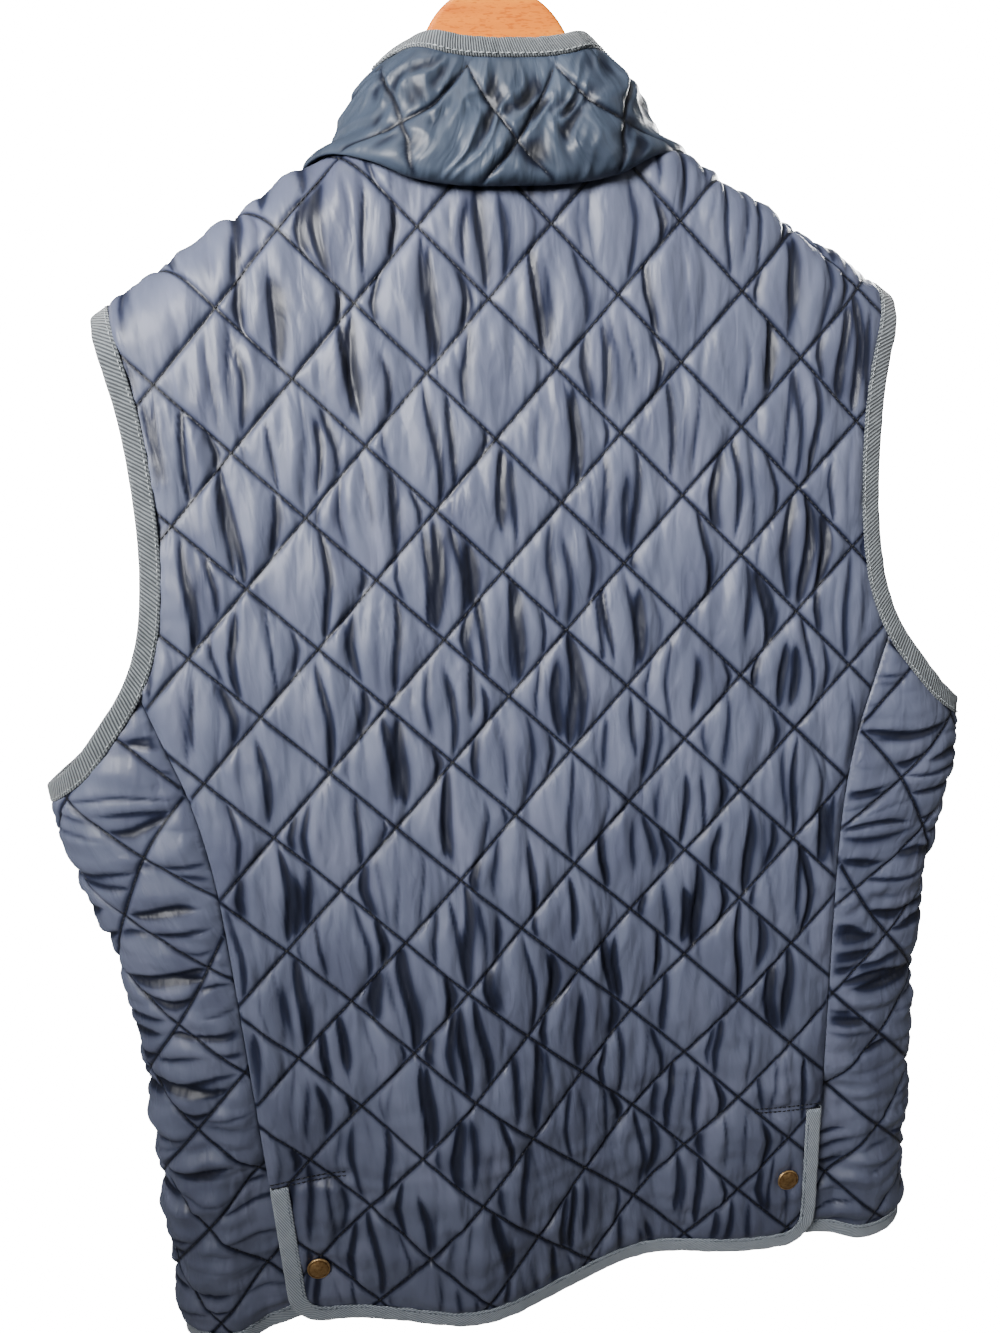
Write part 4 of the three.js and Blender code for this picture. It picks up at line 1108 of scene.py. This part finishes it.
def neck_stations():
    """Places all round the neck, from the right front to the left front, and the collar's directions
    at each of them."""
    front, rear = neckline(-1, NECK_STEPS), neckline(1, NECK_STEPS)
    shoulder = [(NECK_HALF, float(shoulder_seam(np.array(float(NECK_HALF)))))]
    ends = np.stack([np.linspace(-FRONT_LAP, -1.5, END_STEPS), np.full(END_STEPS, float(NECK_FRONT))], 1)
    near = np.vstack([ends, front[:-1]])
    far = np.vstack([rear[1:-1], shoulder])[::-1]
    flip = [-1, 1]
    groups = [
        (-1, near * flip, lap_step(near[:, 0])),
        (1, np.vstack([far * flip, [(0, NECK_BACK)], far[::-1]]), 0.0),
        (-1, near[::-1], 0.0),
    ]

    def laid(height):
        return np.vstack([on_cloth(face, p[:, 0], p[:, 1], height + stepped) for face, p, stepped in groups])

    inner = laid(0)
    last = len(inner) - 1
    i = np.arange(last + 1)
    along = inner[np.minimum(i + LOOK, last)] - inner[np.maximum(i - LOOK, 0)]
    off = laid(1) - inner
    up = np.cross(along, off)
    up /= np.linalg.norm(up, axis=1, keepdims=True)
    outer = laid(WALL + PAD) + 0.8 * up
    away = -np.stack([along[:, 1], -along[:, 0], 0 * i], 1)
    away /= np.linalg.norm(away, axis=1, keepdims=True)
    run = np.concatenate([[0], np.cumsum(np.linalg.norm(np.diff(inner, axis=0), axis=1))])
    return outer, off, up, away, run


NECK_OUTER, NECK_OFF, NECK_UP, NECK_AWAY, NECK_RUN = neck_stations()
NECK_LENGTH = NECK_RUN[-1]
NECK_ALONG = (NECK_RUN - NECK_LENGTH / 2)[:, None]  # from the middle of the back
NECK_FULL = ease(np.minimum(NECK_RUN, NECK_LENGTH - NECK_RUN) / END_FADE)[:, None]
# height, how far the collar leans in at the side of the neck
COLLAR_LEAN = [(-10, 0), (0, 2), (9, 14), (22, 25), (36, 28), (54, 36), (66, 46)]


def collar_point(out, up):
    """A corner of the profile at every station: low ones follow the panels, high ones stand up. Near
    the shoulders the lower edge hugs the panels, so the collar looks sewn on and not laid over."""
    side = np.abs(NECK_OUTER[:, :1])
    tight = np.where(out > 1.5, 1 - 0.6 * ease((side - 52) / 36) * ease((30 - up) / 20), 1)
    out = out * tight - 2.6 * ease((side - 60) / 22) * ease((9 - up) / 9)
    upright = ease(up / 14)[..., None]
    beside = np.minimum(side / SIDE_REACH, 1)
    off = NECK_OFF[:, None] * (1 - upright) + NECK_AWAY[:, None] * upright
    rise = NECK_UP[:, None] * (1 - upright) + np.array([0, 0, 1.0]) * upright
    point = NECK_OUTER[:, None] + off * out[..., None] + rise * up[..., None]
    point[..., 0] -= np.sign(NECK_OUTER[:, :1]) * smooth_table(COLLAR_LEAN, up)[..., 0] * beside
    rise = NECK_OUTER[:, 2:] - NECK_OUTER[len(NECK_OUTER) // 2, 2]
    point[..., 2] -= 0.6 * np.maximum(rise, 0) * np.clip(up / 60, 0, 1.1)
    return point


print("neckline:", round(NECK_RUN[-1]), "mm,", len(NECK_RUN), "stations")

# %% Collar surface
# out and up in the middle, out and up at the two thin front ends, share of the quilting
COLLAR_SECTION = np.array([
    (-6.2, 0, -6.2, 0, 0), (0, 0, -1.4, 0, 0), (1.3, -4.5, -0.8, 0.3, 0), (3.6, -6, -0.2, 0.9, 0.2),
    (7, -2, 0.1, 2.5, 0.7), (8, 9, 0.3, 10, 1), (6, 22, 0.3, 22, 1), (2, 36, 0.2, 36, 1),
    (-1.2, 54.5, -1.2, 54.5, 0.1), (-5.7, 54.5, -5.7, 54.5, 0), (-3.5, 36, -5.8, 36, 0),
    (-3.8, 20, -5.9, 20, 0), (-5.5, 6, -6.1, 6, 0),
])


def closed_curve(rows, spacing):
    """A closed Catmull-Rom curve through the rows, spaced evenly by its first two columns."""
    count = len(rows)
    at = np.linspace(0, count, count * 20 + 1)
    i = np.minimum(at.astype(int), count - 1)
    t = (at - i)[:, None]
    p = [rows[(i + k) % count] for k in (-1, 0, 1, 2)]
    curve = p[1] + t * (p[2] - p[0]) / 2 + t**2 * (2 * p[0] - 5 * p[1] + 4 * p[2] - p[3]) / 2
    curve = curve + t**3 * (3 * p[1] - p[0] - 3 * p[2] + p[3]) / 2
    run = np.concatenate([[0], np.cumsum(np.linalg.norm(np.diff(curve[:, :2], axis=0), axis=1))])
    places = np.linspace(0, run[-1], int(run[-1] / spacing) + 1)[:-1]
    return np.stack([np.interp(places, run, curve[:, k]) for k in range(rows.shape[1])], 1), places


COLLAR_CROSSING = 14  # the quilting lines cross at this height in the middle of the back
COLLAR_GROOVE = 1.8


def crumples(along, up):
    """Dents of a handled collar, in millimetres: slanting ridges, broad swells and a fine ripple."""
    across = (0.8 * along + 0.6 * up) / 12 + noise(along / 30, up / 25, 74)
    slant = noise(across, (0.8 * up - 0.6 * along) / 34, 71)
    broad = noise(along / 26, up / 20, 72)
    fine = noise((along - 0.5 * up) / 6, up / 12, 73)
    return 4.2 * (0.32 - np.abs(slant)) + 2.6 * broad + 0.5 * fine


def collar_grid():
    """The section at every station, wide in the middle and thin at the front ends, with diamonds,
    crumples, and small gathers below the binding."""
    rows, girth = closed_curve(COLLAR_SECTION, 1.15)
    out = rows[None, :, 2] + (rows[None, :, 0] - rows[None, :, 2]) * NECK_FULL
    up = rows[None, :, 3] + (rows[None, :, 1] - rows[None, :, 3]) * NECK_FULL
    soft = np.clip(rows[None, :, 4], 0, 1) * NECK_FULL
    r = (NECK_ALONG / DIAMOND_HALF_WIDTH + (up - COLLAR_CROSSING) / DIAMOND_HALF_HEIGHT) / 2
    c = (NECK_ALONG / DIAMOND_HALF_WIDTH - (up - COLLAR_CROSSING) / DIAMOND_HALF_HEIGHT) / 2
    near = [np.abs(k - np.round(k)) * LINE_SPACING for k in (r, c)]
    puff = (1 - np.exp(-near[0] / COLLAR_GROOVE)) * (1 - np.exp(-near[1] / COLLAR_GROOVE))
    # painted shade: hollow is high on the collar's stitched lines and in the dips between crumples, and the
    # material paints the colour darker there
    hollow = soft * np.exp(-((np.minimum(*near) / 1.1) ** 2))
    crumple = crumples(NECK_ALONG, up)
    gather = noise(np.abs(NECK_ALONG) / 7, up / 30, 75) * np.exp(-np.abs(52 - up) / 7)
    hollow = np.maximum(hollow, soft * 0.9 * ease((0.1 - crumple) / 2.6))
    out = out + soft * (1.1 * PAD * puff + crumple * (0.25 + 0.75 * puff)) + 0.9 * gather * soft
    return out, up, girth, hollow


collar_out, collar_up, collar_girth, collar_hollow = collar_grid()
collar_points = collar_point(collar_out, collar_up)
stations, girths = collar_points.shape[:2]
ends = np.arange(girths)
collar_faces = [
    grid_faces(stations, girths, close_columns=True),
    ends[None],
    ends[None, ::-1] + (stations - 1) * girths,
]
collar_uv = np.stack(np.broadcast_arrays(NECK_RUN[:, None], collar_girth[None]), -1).reshape(-1, 2)
collar = add_piece("quilted_collar", collar_points.reshape(-1, 3), collar_faces, collar_uv, COLLAR_NYLON)
add_hollows(collar, collar_hollow.ravel())

# %% [markdown]
# The collar's binding is the same ribbed cotton, folded over its top edge. The quilting thread
# follows the collar's diamonds, and each stitch is placed by reading the collar's plain surface
# between its stations.

# %% Collar binding and stitches
RIB_LOW, RIB_HIGH = 54.9, 64.2
RIB_OUT, RIB_HALF_THICK = -3.5, 3.9
FLAT_TOP, FLAT_BOTTOM = 51, -3  # the height of the collar's quilting


def squared(v):
    """The sign kept and the size to the power 0.45, which squares a circle's corners off."""
    return np.sign(v) * np.abs(v) ** 0.45


def collar_rib():
    """A rounded strip over the collar's top edge: a superellipse, carried round the stations."""
    angle = np.pi + np.linspace(0, 2 * np.pi, 33)[:-1]
    out = RIB_OUT + RIB_HALF_THICK * squared(np.cos(angle))
    up = (RIB_LOW + RIB_HIGH) / 2 + (RIB_HIGH - RIB_LOW) / 2 * squared(np.sin(angle))
    wave = 0.25 * noise(NECK_RUN[:, None] / 9, up[None] / 8, 81)
    points = collar_point(out[None] + wave, np.broadcast_to(up[None], wave.shape) + 0.5 * wave)
    shape = np.stack([out, up], 1)
    girth = np.concatenate([[0], np.cumsum(np.linalg.norm(np.diff(shape, axis=0), axis=1))])
    count, k = points.shape[:2]
    ring = np.arange(k)[None]
    faces = [grid_faces(count, k, close_columns=True), ring, ring[:, ::-1] + (count - 1) * k]
    uv = np.stack(np.broadcast_arrays(NECK_RUN[:, None], girth[None]), -1).reshape(-1, 2)
    return add_piece("collar_rib", points.reshape(-1, 3), faces, uv, RIB)


collar_binding = collar_rib()


def read_grid(grid, i, j):
    """A value between the rows and columns of a grid, by distance to the four around it."""
    a = np.clip(np.floor(i).astype(int), 0, len(grid) - 2)
    b = np.clip(np.floor(j).astype(int), 0, grid.shape[1] - 2)
    u, v = (i - a)[:, None], (j - b)[:, None]
    low = grid[a, b] * (1 - u) + grid[a + 1, b] * u
    return low * (1 - v) + (grid[a, b + 1] * (1 - u) + grid[a + 1, b + 1] * u) * v


def collar_quilting():
    """Stitches along the collar's diamonds, read from two coarse grids: one on the stitched lines and
    one 1 mm further out, for the normals. The crumples lift the lines too, by a quarter."""
    rows = 60
    heights = np.linspace(FLAT_BOTTOM, FLAT_TOP, rows)
    outer_side = COLLAR_SECTION[3:9]
    out = np.interp(heights, outer_side[:, 1], outer_side[:, 0])
    soft = np.interp(heights, outer_side[:, 1], outer_side[:, 4])
    base = 0.3 + (out[None] - 0.3) * NECK_FULL
    base = base + 0.25 * crumples(NECK_ALONG, heights) * soft * NECK_FULL
    low, high = (collar_point(base + k, np.broadcast_to(heights, base.shape)) for k in (0.45, 1.45))
    step = QUILT_PITCH / DIAMOND_SIDE
    t = np.arange(-12, 12, step)
    k = np.arange(-12, 13)[:, None]
    starts, finishes, normals = [], [], []
    for sign in (1, -1):
        places = []
        for shift in (-0.39 * step, 0.39 * step):
            along = (k + t + shift) * DIAMOND_HALF_WIDTH + NECK_LENGTH / 2
            up = sign * (t - k + shift) * DIAMOND_HALF_HEIGHT + COLLAR_CROSSING
            places.append((along, up))
        keep = np.ones_like(places[0][0], bool)
        for along, up in places:
            keep &= (along > 30) & (along < NECK_LENGTH - 30) & (up > FLAT_BOTTOM) & (up < FLAT_TOP)
        start, finish = (
            (np.interp(along[keep], NECK_RUN, np.arange(stations)),
             (up[keep] - FLAT_BOTTOM) / (FLAT_TOP - FLAT_BOTTOM) * (rows - 1))
            for along, up in places
        )
        starts.append(read_grid(low, *start))
        finishes.append(read_grid(low, *finish))
        normals.append(read_grid(high, *start) - starts[-1])
    lines = (np.vstack(part) for part in (starts, finishes, normals))
    return stitches("collar_quilting", *lines, QUILT_RADIUS, QUILTING_THREAD)


collar_threads = collar_quilting()


def collar_rib_stitches():
    """One pale row just above the lower edge of the collar's binding."""
    up = np.full((stations, 1), RIB_LOW + 1.5)
    low, high = (collar_point(np.full((stations, 1), out), up)[:, 0] for out in (0.45, 1.45))
    rail = spaced(low, 3.4)
    run = np.concatenate([[0], np.cumsum(np.linalg.norm(np.diff(low, axis=0), axis=1))])
    at = np.linspace(0, run[-1], len(rail))[:-1]
    out = high - low
    normal = np.stack([np.interp(at, run, out[:, k]) for k in range(3)], 1)
    ends = rail[:-1] + 0.84 * np.diff(rail, axis=0)
    return stitches("collar_rib_stitches", rail[:-1], ends, normal, 0.42, BINDING_THREAD)


threads.append(collar_rib_stitches())

# %% [markdown]
# ## Press studs
# The caps are pressed from brass, darkened and then rubbed bright where a thumb meets them. Each is a
# profile turned round its axis: a low dome, a narrow groove and a rolled rim. Metal keeps the default
# index of refraction; its colour is in the base colour.

# %% Antique brass
def antique_brass():
    material, tree, shader = new_material("antique brass", Metallic=1.0, Roughness=0.38)
    place = node(tree, "TexCoord").outputs["Object"]
    spots = node(tree, "TexNoise", Vector=place, Scale=420, Detail=5, Roughness=0.65).outputs["Fac"]
    edges = node(tree, "NewGeometry").outputs["Pointiness"]
    wear_and_painted_shade = node(tree, "MapRange", Value=edges, From_Min=0.48, From_Max=0.56, To_Min=0.0, To_Max=0.45)
    total = node(tree, "Math", {"operation": "ADD"}, i0=spots, i1=wear_and_painted_shade.outputs["Result"]).outputs[0]
    tint = ramp(tree, total, [(0.35, "#6A5032"), (0.58, "#A37C50"), (0.95, "#D2AE7A")])
    tree.links.new(tint, shader.inputs["Base Color"])
    rough = node(tree, "MapRange", Value=spots, From_Min=0.3, From_Max=0.7, To_Min=0.36, To_Max=0.56)
    tree.links.new(rough.outputs["Result"], shader.inputs["Roughness"])
    bump = node(tree, "Bump", Height=spots, Strength=0.12, Distance=0.0002)
    tree.links.new(bump.outputs["Normal"], shader.inputs["Normal"])
    return material


BRASS = antique_brass()
# radius, height over the cloth, of a cap 15 mm wide
CAP_PROFILE = [
    (0, 2.5), (1.7, 2.44), (3.3, 2.26), (4.6, 2.0), (5.6, 1.66), (6.05, 1.44), (6.3, 1.36), (6.55, 1.44),
    (6.8, 1.56), (7.0, 1.55), (7.25, 1.38), (7.45, 1.05), (7.5, 0.6), (7.3, 0.2), (6.7, 0.0), (0, 0.0),
]


def press_stud(name, face, across, up):
    """The profile turned in 40 steps, standing along the cloth's outward normal."""
    at = np.array([[across, up]] * 3, float) + [[0, 0], [1, 0], [0, 0]]
    level = WALL + np.array([0.8, 0.8, 1.8])
    base, beside, over = on_cloth(face, at[:, 0], at[:, 1], level)
    axis = over - base
    side = beside - base
    side -= axis * (side @ axis)
    side /= np.linalg.norm(side)
    third = np.cross(axis, side)
    angle = np.linspace(0, 2 * np.pi, 41)[:-1]
    radius, height = np.array(CAP_PROFILE[1:-1]).T
    ring = radius[:, None, None] * (np.cos(angle)[:, None] * side + np.sin(angle)[:, None] * third)
    body = (base + ring + height[:, None, None] * axis).reshape(-1, 3)
    tips = [base + axis * CAP_PROFILE[0][1], base]
    points = np.vstack([body, tips])
    rows, count = len(radius), len(angle)
    k = np.arange(count)
    top = np.stack([np.full(count, len(body)), k, (k + 1) % count], 1)
    last_ring = (rows - 1) * count
    low = np.stack([np.full(count, len(body) + 1), last_ring + (k + 1) % count, last_ring + k], 1)
    sides = grid_faces(rows, count, close_columns=True)
    uv = (points - base) @ np.stack([side, third], 1)
    return add_piece(name, points, [sides, top, low], uv, BRASS)


studs = {name: press_stud(name.replace("stud", "cap"), 1, *place) for name, place in VENT_STUDS.items()}
studs |= {name: press_stud(name.replace("stud", "cap"), -1, *place) for name, place in FRONT_STUDS.items()}

# %% [markdown]
# ## The wooden hanger
# The hanger is cut from a 12 mm beech board and its edges are rounded over, then lacquered. Its
# outline is a curve in the board's plane, repeated with a smaller and smaller outline on the way to
# each face, along a quarter circle of 3 mm. Beech is warm and even, with short darker flecks, and
# the lacquer is a thin clear coat that gives it a soft shine.

# %% Lacquered beech
def lacquered_beech():
    material, tree, shader = new_material(
        "lacquered beech", IOR=1.5, Roughness=0.34, Coat_Weight=0.35, Coat_Roughness=0.22
    )
    place = node(tree, "TexCoord").outputs["Object"]
    grain_space = node(tree, "Mapping", Vector=place, Scale=(3.0, 40.0, 26.0)).outputs["Vector"]
    cloud = node(
        tree, "TexNoise", Vector=grain_space, Scale=2.2, Detail=6, Roughness=0.62, Distortion=0.6
    ).outputs["Fac"]
    fleck_space = node(tree, "Mapping", Vector=place, Scale=(260.0, 900.0, 1500.0)).outputs["Vector"]
    fleck = node(tree, "TexNoise", Vector=fleck_space, Scale=1.0, Detail=2).outputs["Fac"]
    tone = ramp(tree, cloud, [(0.3, "#C25E06"), (0.5, "#DC7608"), (0.72, "#EC8E16")])
    dark = ramp(tree, fleck, [(0.36, "#B87430"), (0.46, "#FFFFFF")])
    tree.links.new(multiplied(tree, tone, dark, 0.5), shader.inputs["Base Color"])
    bump = node(tree, "Bump", Height=fleck, Strength=0.06, Distance=0.0003)
    tree.links.new(bump.outputs["Normal"], shader.inputs["Normal"])
    return material


BEECH = lacquered_beech()
HANGER_END = 208
ARM_HEIGHT = 24
DOME_HEIGHT = 387
DOME_RADIUS = 43
DOME_START = -0.12  # the angle at which the dome leaves the neck, in radians
BOARD_HALF = 6  # half of its thickness
EDGE_RADIUS = 3
FACE_INSET = 3.8


def bent(start, control, end, steps):
    """A quadratic Bezier curve, without its last point."""
    t = np.linspace(0, 1, steps + 1)[:-1, None]
    return (1 - t) ** 2 * np.array(start) + 2 * t * (1 - t) * np.array(control) + t**2 * np.array(end)


def straight(a, b):
    """Eight places from a on the way to b."""
    return np.array(a) + np.linspace(0, 1, 9)[:-1, None] * (np.array(b) - a)


def arm_top(x):
    """The arm's upper edge lies 1 mm below the shoulder line."""
    return shoulder_line(x) - 1


def board_outline():
    """Half of it from the middle of the underside to the top of the dome, then its mirror image."""
    low = shoulder_line(0)
    join = (DOME_RADIUS * math.cos(DOME_START), DOME_HEIGHT + DOME_RADIUS * math.sin(DOME_START))
    under = (78, arm_top(78) - ARM_HEIGHT - 4)
    tail = (HANGER_END - 14, arm_top(HANGER_END) - ARM_HEIGHT + 8)
    tip = (HANGER_END, arm_top(HANGER_END))
    half = np.vstack([
        bent((0, low - 62), (40, low - 64), under, 14),
        straight(under, tail),
        bent(tail, (HANGER_END + 3, arm_top(HANGER_END) - ARM_HEIGHT), tip, 12),
        straight(tip, (108, arm_top(108))),
        bent((108, arm_top(108)), (60, NECK_SIDE_HEIGHT + 3), join, 18),
        arc((0, DOME_HEIGHT), DOME_START, np.pi / 2, DOME_RADIUS, 28),
    ])
    return np.vstack([half, mirrored(half)[1:-1]])


def board():
    """Rings of the outline from one face to the other: the inset and the depth follow a quarter
    circle, and one more ring on each flat face keeps its shading flat."""
    outline = spaced(np.vstack([board_outline(), board_outline()[:1]]), 2.5)[:-1]
    turn = np.linspace(-np.pi / 2, np.pi / 2, 14)
    insets = EDGE_RADIUS * (1 - np.cos(turn))
    depths = np.copysign(BOARD_HALF - EDGE_RADIUS, turn) + EDGE_RADIUS * np.sin(turn)
    rings = []
    for inset, depth in [(FACE_INSET, -BOARD_HALF), *zip(insets, depths), (FACE_INSET, BOARD_HALF)]:
        edge = moved(outline, inset, loop=True)
        rings.append(np.stack([edge[:, 0], np.full(len(edge), depth), edge[:, 1]], 1))
    points, count = np.vstack(rings), len(outline)
    k = np.arange(count)
    faces = [
        grid_faces(len(rings), count, close_columns=True), k[None], k[None, ::-1] + (len(rings) - 1) * count
    ]
    return add_piece("hanger_board", points, faces, points[:, [0, 2]], BEECH)


hanger = board()

# %% [markdown]
# ### The hook
# The hook is one 4 mm wire, plated bright. A tube along a path needs two directions square to the
# path at each point. The path lies in one plane, so the first is that plane's normal, and the second
# is the cross product of it with the tangent. The last rings shrink to round the wire's end.

# %% Plated wire and hook
def plated_steel():
    material, tree, shader = new_material("nickel plated steel wire", Metallic=1.0, Roughness=0.2)
    place = node(tree, "TexCoord").outputs["Object"]
    haze = node(tree, "TexNoise", Vector=place, Scale=300, Detail=4).outputs["Fac"]
    tree.links.new(ramp(tree, haze, [(0.35, "#A6A8AA"), (0.65, "#C9CBCC")]), shader.inputs["Base Color"])
    rough = node(tree, "MapRange", Value=haze, From_Min=0.3, From_Max=0.7, To_Min=0.14, To_Max=0.3)
    tree.links.new(rough.outputs["Result"], shader.inputs["Roughness"])
    return material


STEEL = plated_steel()


WIRE_SPACING = 1.2
WIRE_SIDES = 20


def wire_hook(radius=2.0, crook=21, stem=34, depth=16):
    """A stem that starts inside the dome and a crook of most of a circle. The ring's size follows a
    half circle near both ends."""
    foot = DOME_HEIGHT + DOME_RADIUS
    centre = foot + stem + crook
    angle = np.linspace(-0.25 * np.pi, 1.08 * np.pi, 23)
    turn = np.stack([crook * np.cos(angle), centre + crook * np.sin(angle)], 1)
    start = [(0, foot - depth), (0, foot - depth / 2), (0, foot), (0, foot + stem * 0.35)]
    path = spline(np.vstack([start, turn]), WIRE_SPACING)
    tangent = np.gradient(path, axis=0)
    tangent /= np.linalg.norm(tangent, axis=1, keepdims=True)
    run = np.arange(len(path)) * WIRE_SPACING
    size = radius * np.sqrt(1 - np.clip(1 - np.minimum(run, run[-1] - run) / radius, 0, 0.999) ** 2)
    angle = np.linspace(0, 2 * np.pi, WIRE_SIDES + 1)[:-1]
    across = np.stack([-tangent[:, 1], 0 * tangent[:, 0], tangent[:, 0]], 1)
    centre_line = np.stack([path[:, 0], 0 * path[:, 0], path[:, 1]], 1)
    square = np.array([0, 1.0, 0])
    circle = np.cos(angle)[None, :, None] * across[:, None] + np.sin(angle)[None, :, None] * square
    points = (centre_line[:, None] + size[:, None, None] * circle).reshape(-1, 3)
    k = np.arange(WIRE_SIDES)[None]
    last_ring = (len(path) - 1) * WIRE_SIDES
    faces = [grid_faces(len(path), WIRE_SIDES, close_columns=True), k, k[:, ::-1] + last_ring]
    uv = np.stack([np.repeat(run, WIRE_SIDES), np.tile(angle * radius, len(path))], 1)
    return add_piece("hanger_hook", points, faces, uv, STEEL)


hook = wire_hook()

# %% [markdown]
# ## Floor and light
# The vest hangs over a pale floor, as in a plain studio. One lamp rakes over the back from the side
# and one over the front, each in a narrow beam, so that every crease has a bright and a dark flank.
# Larger, weaker lamps fill the shadows from the other side and from above. The world is white where
# the camera looks past the vest, and dim as a light, so that the folds keep their shade.

# %% Floor
def pale_floor():
    material, tree, shader = new_material(
        "painted plaster floor, lit from below", IOR=1.45, Roughness=0.8, Emission_Color=colour("#FFFFFF")
    )
    place = node(tree, "TexCoord").outputs["Object"]
    cloud = node(tree, "TexNoise", Vector=place, Scale=3, Detail=5).outputs["Fac"]
    tree.links.new(ramp(tree, cloud, [(0.3, "#A6A6A4"), (0.7, "#ACACAA")]), shader.inputs["Base Color"])
    # The glow is for the camera only, so the floor looks white but doesn't light the vest from below.
    seen = node(tree, "LightPath").outputs["Is Camera Ray"]
    glow = node(tree, "Math", {"operation": "MULTIPLY"}, i0=seen, i1=18.0)
    tree.links.new(glow.outputs[0], shader.inputs["Emission Strength"])
    return material


FLOOR_BELOW = 1350.0  # under the hook's seat
reach = np.linspace(-4000, 4000, 41)
floor_x, floor_y = np.meshgrid(reach, reach, indexing="ij")
floor_z = np.full_like(floor_x, SEAT_HEIGHT - FLOOR_BELOW)
floor_points = np.stack([floor_x, floor_y, floor_z], -1).reshape(-1, 3)
floor = add_piece("floor", floor_points, [grid_faces(41, 41)], floor_points[:, :2], pale_floor())


# %% Lights and world
def area_light(name, place, target, size, power, spread=180):
    """A square white lamp that looks at a point: its -Z axis is turned towards it."""
    data = bpy.data.lights.new(name, "AREA")
    data.shape = "SQUARE"
    data.size = size
    data.energy = power
    data.spread = math.radians(spread)
    lamp = bpy.data.objects.new(name, data)
    lamp.location = place
    lamp.rotation_euler = (Vector(target) - Vector(place)).to_track_quat("-Z", "Y").to_euler()
    bpy.context.scene.collection.objects.link(lamp)


middle = (0, 0, -0.5)
area_light("key", (0.85, 0.95, 0.2), (0.02, 0, -0.2), 0.6, 8.2, spread=56)
area_light("fill", (-1.75, 1.1, 0.3), middle, 1.2, 7)
area_light("front_key", (-0.85, -0.95, 0.0), (-0.02, 0, -0.25), 0.6, 8.2, spread=56)
area_light("front_fill", (1.75, -1.1, 0.3), middle, 1.2, 7)
area_light("top", (0, 0.2, 1.4), middle, 0.9, 10)

world = bpy.data.worlds.new("studio")
bpy.context.scene.world = world
world.use_nodes = True
tree = world.node_tree
tree.nodes.clear()
seen = node(tree, "Background", Color=colour("#FFFFFF"), Strength=24.0)
lit = node(tree, "Background", Color=colour("#F6F8FA"), Strength=0.12)
ray = node(tree, "LightPath")
both = node(tree, "MixShader", i0=ray.outputs["Is Camera Ray"], i1=lit.outputs[0], i2=seen.outputs[0])
node(tree, "OutputWorld", Surface=both.outputs[0])

# %% [markdown]
# ## Joining the looks to the model
# Every piece rides on the model's one body. A piece that stands for a CAD node replaces it, and the
# CAD node is hidden. The cloth pieces print the size that they were cut to.

# %% Ride and replace, and print the cut sizes
replaced = {
    back: ("back", "quilt"), front_left: ("front_left", "quilt"), front_right: ("front_right", "quilt"),
    collar: ("collar", "quilt"), collar_binding: ("collar_binding", "binding"),
    armhole_left: ("armhole_binding_left", "binding"), armhole_right: ("armhole_binding_right", "binding"),
    back_tape: ("back_binding", "binding"), left_tape: ("front_binding_left", "binding"),
    right_tape: ("front_binding_right", "binding"), hanger: ("hanger", "wood"), hook: ("hook", "steel"),
    **{piece: (name, "stud") for name, piece in studs.items()},
}
for piece, (name, slot) in replaced.items():
    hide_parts(name)
    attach(piece, "root")
quilt_threads = [back_quilting, left_quilting, right_quilting, collar_threads, vent_bars]
for piece in quilt_threads:
    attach(piece, "root")
for piece in threads + tape_threads:
    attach(piece, "root")


def cut_area(outline, holes):
    """Square metres of cloth: the points of a fine grid that fall inside, times the grid's square. The
    grid reaches past every panel."""
    step = 4.0
    x, y = np.meshgrid(np.arange(-350, 400, step), np.arange(-400, 420, step))
    grid = np.stack([x, y], -1).reshape(-1, 2)
    keep = inside(grid, outline)
    for hole in holes:
        keep &= ~inside(grid, hole)
    return float(keep.sum() * step**2 * 1e-6)


def cut_size(outline):
    return tuple(float(value) for value in (outline.max(axis=0) - outline.min(axis=0)) * 0.001)


back_cut, front_cut = back_outline(), front_outline()
back_area = cut_area(back_cut, [hole_back, mirrored(hole_back)])
front_area = cut_area(front_cut, [hole_front])
collar_cut = (float(NECK_LENGTH) * 0.001, 0.06)  # the stand collar is a strip 60 mm high
sheets = [
    (back, cut_size(back_cut), back_area, [back_quilting, vent_bars, back_tape]),
    (front_left, cut_size(front_cut), front_area, [left_quilting, left_tape]),
    (front_right, cut_size(front_cut), front_area, [right_quilting, right_tape]),
    (collar, collar_cut, None, [collar_threads, collar_binding]),
]
for piece, flat, area, on_it in sheets:
    print(piece.name, "cut", [round(value, 3) for value in flat], "m, area", area)
